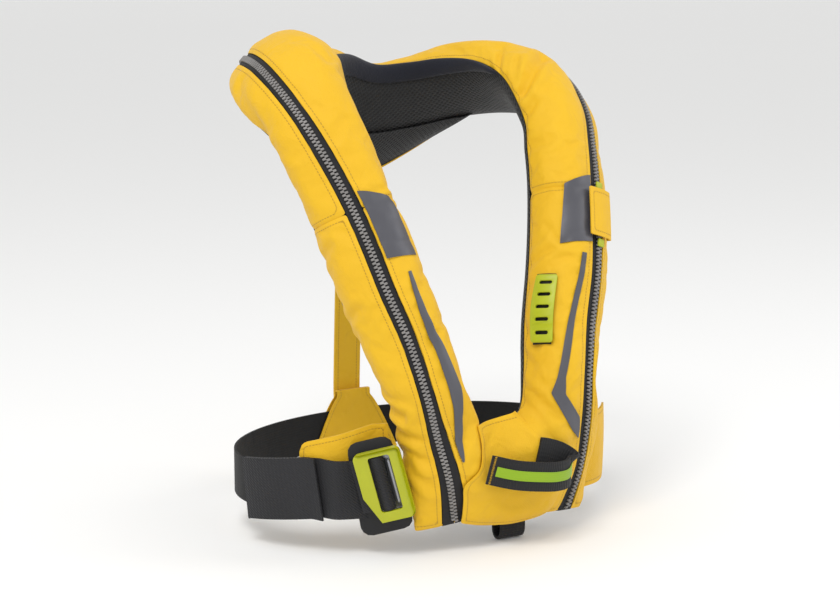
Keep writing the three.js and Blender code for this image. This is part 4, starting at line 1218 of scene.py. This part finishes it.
backing_at, backing_across = np.meshgrid(
    np.linspace(FROM - 0.02, TO + 0.02, 30), np.linspace(0.0395, 0.0572, 12), indexing="ij"
)
backing = lay_on_cover("ladder_pad", "left", backing_at, backing_across, 0.0002, 0.0006)
wear(backing, RUBBER, "black_rubber", "jacket", "ladder_backing")

# ---- The bladder ----
# Urethane-coated nylon, welded round its edge and folded up inside the cover. Only its folds show in a gap.


def folded_bladder():
    # Coated nylon: smooth and satin, with folds 7 mm apart lying along it and a fine weave under the coating.
    material, tree, shader = new_material("coated_nylon", IOR=1.5)
    uv = node(tree, "ShaderNodeUVMap", uv_map="cloth").outputs[0]
    stretched = node(tree, "ShaderNodeMapping", {"Vector": uv, "Scale": (0.2, 1, 1)}).outputs[0]
    fold = node(tree, "ShaderNodeTexNoise", {"Vector": stretched, "Scale": 140, "Detail": 3}).outputs["Fac"]
    # Painted shade and light: the colour follows the folds, darker in their hollows and lighter on their
    # crests.
    colour = node(
        tree, "ShaderNodeMixRGB", {"Fac": fold, "Color1": linear("#8E9A10"), "Color2": linear("#B6C41C")}
    )
    tree.links.new(colour.outputs[0], shader.inputs["Base Color"])
    gloss = node(tree, "ShaderNodeMapRange", {0: fold, 3: 0.35, 4: 0.6}).outputs[0]
    tree.links.new(gloss, shader.inputs["Roughness"])
    weave = thread_wave(tree, uv, "X", 0.0008).outputs["Fac"]
    fine = node(tree, "ShaderNodeBump", {"Height": weave, "Strength": 0.2, "Distance": 0.0001}).outputs[0]
    crease = node(
        tree, "ShaderNodeBump", {"Height": fold, "Strength": 0.8, "Distance": 0.004, "Normal": fine}
    ).outputs[0]
    tree.links.new(crease, shader.inputs["Normal"])
    return material


at, turned = np.meshgrid(np.linspace(-13.2, 11.6, 220), np.linspace(0, 360, 49), indexing="ij")
places = on_cover(at, turned, -0.0062 - 0.0008 * np.sin(turned / 9 + at))
centre, _, _, side_way, width, _, _ = section(at[:, 0])
eased = lambda x: np.clip(x, 0, 1) ** 2 * (3 - 2 * np.clip(x, 0, 1))
# It leaves room for the inflator in the left lobe's foot and for the oral tube in the right lobe.
for_inflator = width - (0.008 + width) * eased((at[:, 0] - 9.2) / 0.6)
for_tube = width - 0.019 * eased((-at[:, 0] - 8.4) / 0.5)
limit = np.where(at[:, 0] > 0, for_inflator, for_tube)
reach = ((places - centre[:, None]) * side_way[:, None]).sum(-1)
places += side_way[:, None] * np.minimum(limit[:, None] - reach, 0)[..., None]
bladder = grid_mesh("folded_bladder", places)
smooth(bladder, 80)
wear(bladder, folded_bladder(), "bladder_fabric", "jacket", "bladder")

# ---- The inner cords ----
# Braided polyester: a white one from the oral tube to the whistle, and a short red one from the pull handle
# to the inflator's lever. Both are tied at both ends and packed in the cover.


def braided(name, light, dark):
    # Braided polyester yarn, semi-matt, its strands crossing every 1.2 mm.
    material, tree, shader = new_material(name, Roughness=0.6, Sheen_Weight=0.1)
    place = node(tree, "ShaderNodeTexCoord").outputs["Object"]
    strands = node(
        tree, "ShaderNodeTexWave", {"Vector": place, "Scale": 2 * math.pi / 20 / 0.0012},
        bands_direction="DIAGONAL"
    )
    # Painted shade: the cord darkens towards its dark colour in the grooves between the strands.
    colour = node(
        tree, "ShaderNodeMixRGB",
        {"Fac": strands.outputs["Fac"], "Color1": linear(dark), "Color2": linear(light)}
    )
    tree.links.new(colour.outputs[0], shader.inputs["Base Color"])
    bump = node(
        tree, "ShaderNodeBump", {"Height": strands.outputs["Fac"], "Strength": 0.6, "Distance": 0.0003}
    )
    tree.links.new(bump.outputs[0], shader.inputs["Normal"])
    return material


def tube(name, path, radius):
    """A round cord along a path of places, as a mesh with closed ends."""
    along = np.gradient(path, axis=0)
    along /= np.linalg.norm(along, axis=1)[:, None]
    up = np.cross(along, (0.1, 1, 0.2))
    up /= np.linalg.norm(up, axis=1)[:, None]
    turn = np.linspace(0, 2 * math.pi, 13)[:, None, None]
    rings = (path + radius * (np.cos(turn) * up + np.sin(turn) * np.cross(along, up))).transpose(1, 0, 2)
    rings = np.concatenate(
        [np.broadcast_to(path[0], (1, 13, 3)), rings, np.broadcast_to(path[-1], (1, 13, 3))]
    )
    piece = grid_mesh(name, rings)
    select_only(piece)
    bpy.ops.object.mode_set(mode="EDIT")
    bpy.ops.mesh.select_all(action="SELECT")
    bpy.ops.mesh.remove_doubles(threshold=0.00001)
    bpy.ops.mesh.normals_make_consistent(inside=False)
    bpy.ops.object.mode_set(mode="OBJECT")
    smooth(piece, 60)
    return piece


at = np.linspace(-11.2, -9.95, 30)
centre, _, out, side_way, width, _, _ = section(at)
whistle_path = centre + side_way * (width - 0.013)[:, None] - 0.0065 * out
whistle_line = tube("whistle_line", whistle_path, 0.0009)
wear(whistle_line, braided("white_braid", "#E8E7E2", "#B9B8B2"), "white_plastic", "jacket", "whistle_cord")
pull_path = np.array([[0.0465, -0.131, z] for z in np.linspace(0.0595, 0.0495, 8)])
pull_line = tube("pull_line", pull_path, 0.001)
wear(pull_line, braided("red_braid", "#C8201A", "#8E120E"), "red_plastic", "pull", "pull_cord")

# ---- The harness loop's tacks ----
# Each end of the harness loop is sewn down with a dense zigzag of yellow polyester thread.

THREAD = braided("yellow_thread", "#F2C414", "#C09010")
loop_line = centripetal(HARNESS_LINE, 241) / 1000
for name, k, step in (("start_tack", 3, 5), ("end_tack", 237, -5)):
    way = loop_line[k + step] - loop_line[k]
    way /= np.linalg.norm(way)
    across = np.array([0.06, 0.05, 1.0]) - way[2] * way
    across /= np.linalg.norm(across)
    facing = np.cross(way, across) * np.sign(step)
    rungs = np.arange(34)
    zigzag = loop_line[k] + across * ((rungs / 33 - 0.5) * 0.024)[:, None] + facing * 0.0013
    zigzag += way * (0.0016 * (rungs % 2))[:, None]
    tack = tube(name, zigzag, 0.00035)
    wear(tack, THREAD, "cover_fabric", "harness")

# ---- The inflator, the mouthpiece and the slider ----
# Small hard parts packed inside the cover or on the zip: a steel gas cylinder, moulded nylon bodies, a rubber
# tube.

# Zinc-plated steel, cool grey and faintly streaked; nylon mouldings in their colours; soft black rubber.
PLATED_STEEL = moulded("plated_steel", "#A8AAAE", "#8C8F94", 0.3, 0.002, 0.00005, Metallic=1.0)
RED_NYLON = moulded("red_nylon", "#C41A14", "#A8120E", 0.42, IOR=1.53)
WHITE_NYLON = moulded("white_nylon", "#E6E5E0", "#D2D1CB", 0.45, IOR=1.53)
FINISHES = {
    "steel": PLATED_STEEL, "black_rubber": RUBBER, "red_plastic": RED_NYLON, "white_plastic": WHITE_NYLON,
    "lime_plastic": LIME_NYLON, "plate_paint": POWDER_COAT, "zip_teeth": ACETAL,
}
for entry in frame["record"]["subparts"]:
    kept = frame["nodes"][entry["node"]]
    if not kept.hide_render and entry["material_slot"] in FINISHES:
        for place in kept.material_slots:
            place.material = FINISHES[entry["material_slot"]]

# ---- The real sizes of the cloth pieces ----
# Each is one flat piece of cloth: its width and length in metres, how it is held and what it lies on.


def cut_size(piece):
    """The flat width and length of a piece's cloth, and the area of one face of it."""
    cloth = piece.data.uv_layers["cloth"].data
    uv = np.zeros(2 * len(cloth), np.float32)
    cloth.foreach_get("uv", uv)
    length, width = (float(side) for side in uv.reshape(-1, 2).max(0))
    area = sum(face.area for face in piece.data.polygons) / 2
    return (width, length), min(area, width * length)


for piece, held, under in (
    (yoke_back, "stretched", [yoke_mesh]), (sleeve, "folded", []),
    (bpy.data.objects["left_wing"], "stretched", []),
    (bpy.data.objects["right_wing"], "stretched", []),
    (overlap, "stretched", [bpy.data.objects["left_front_cloth"]]), (tab, "stretched", []),
):
    flat, area = cut_size(piece)
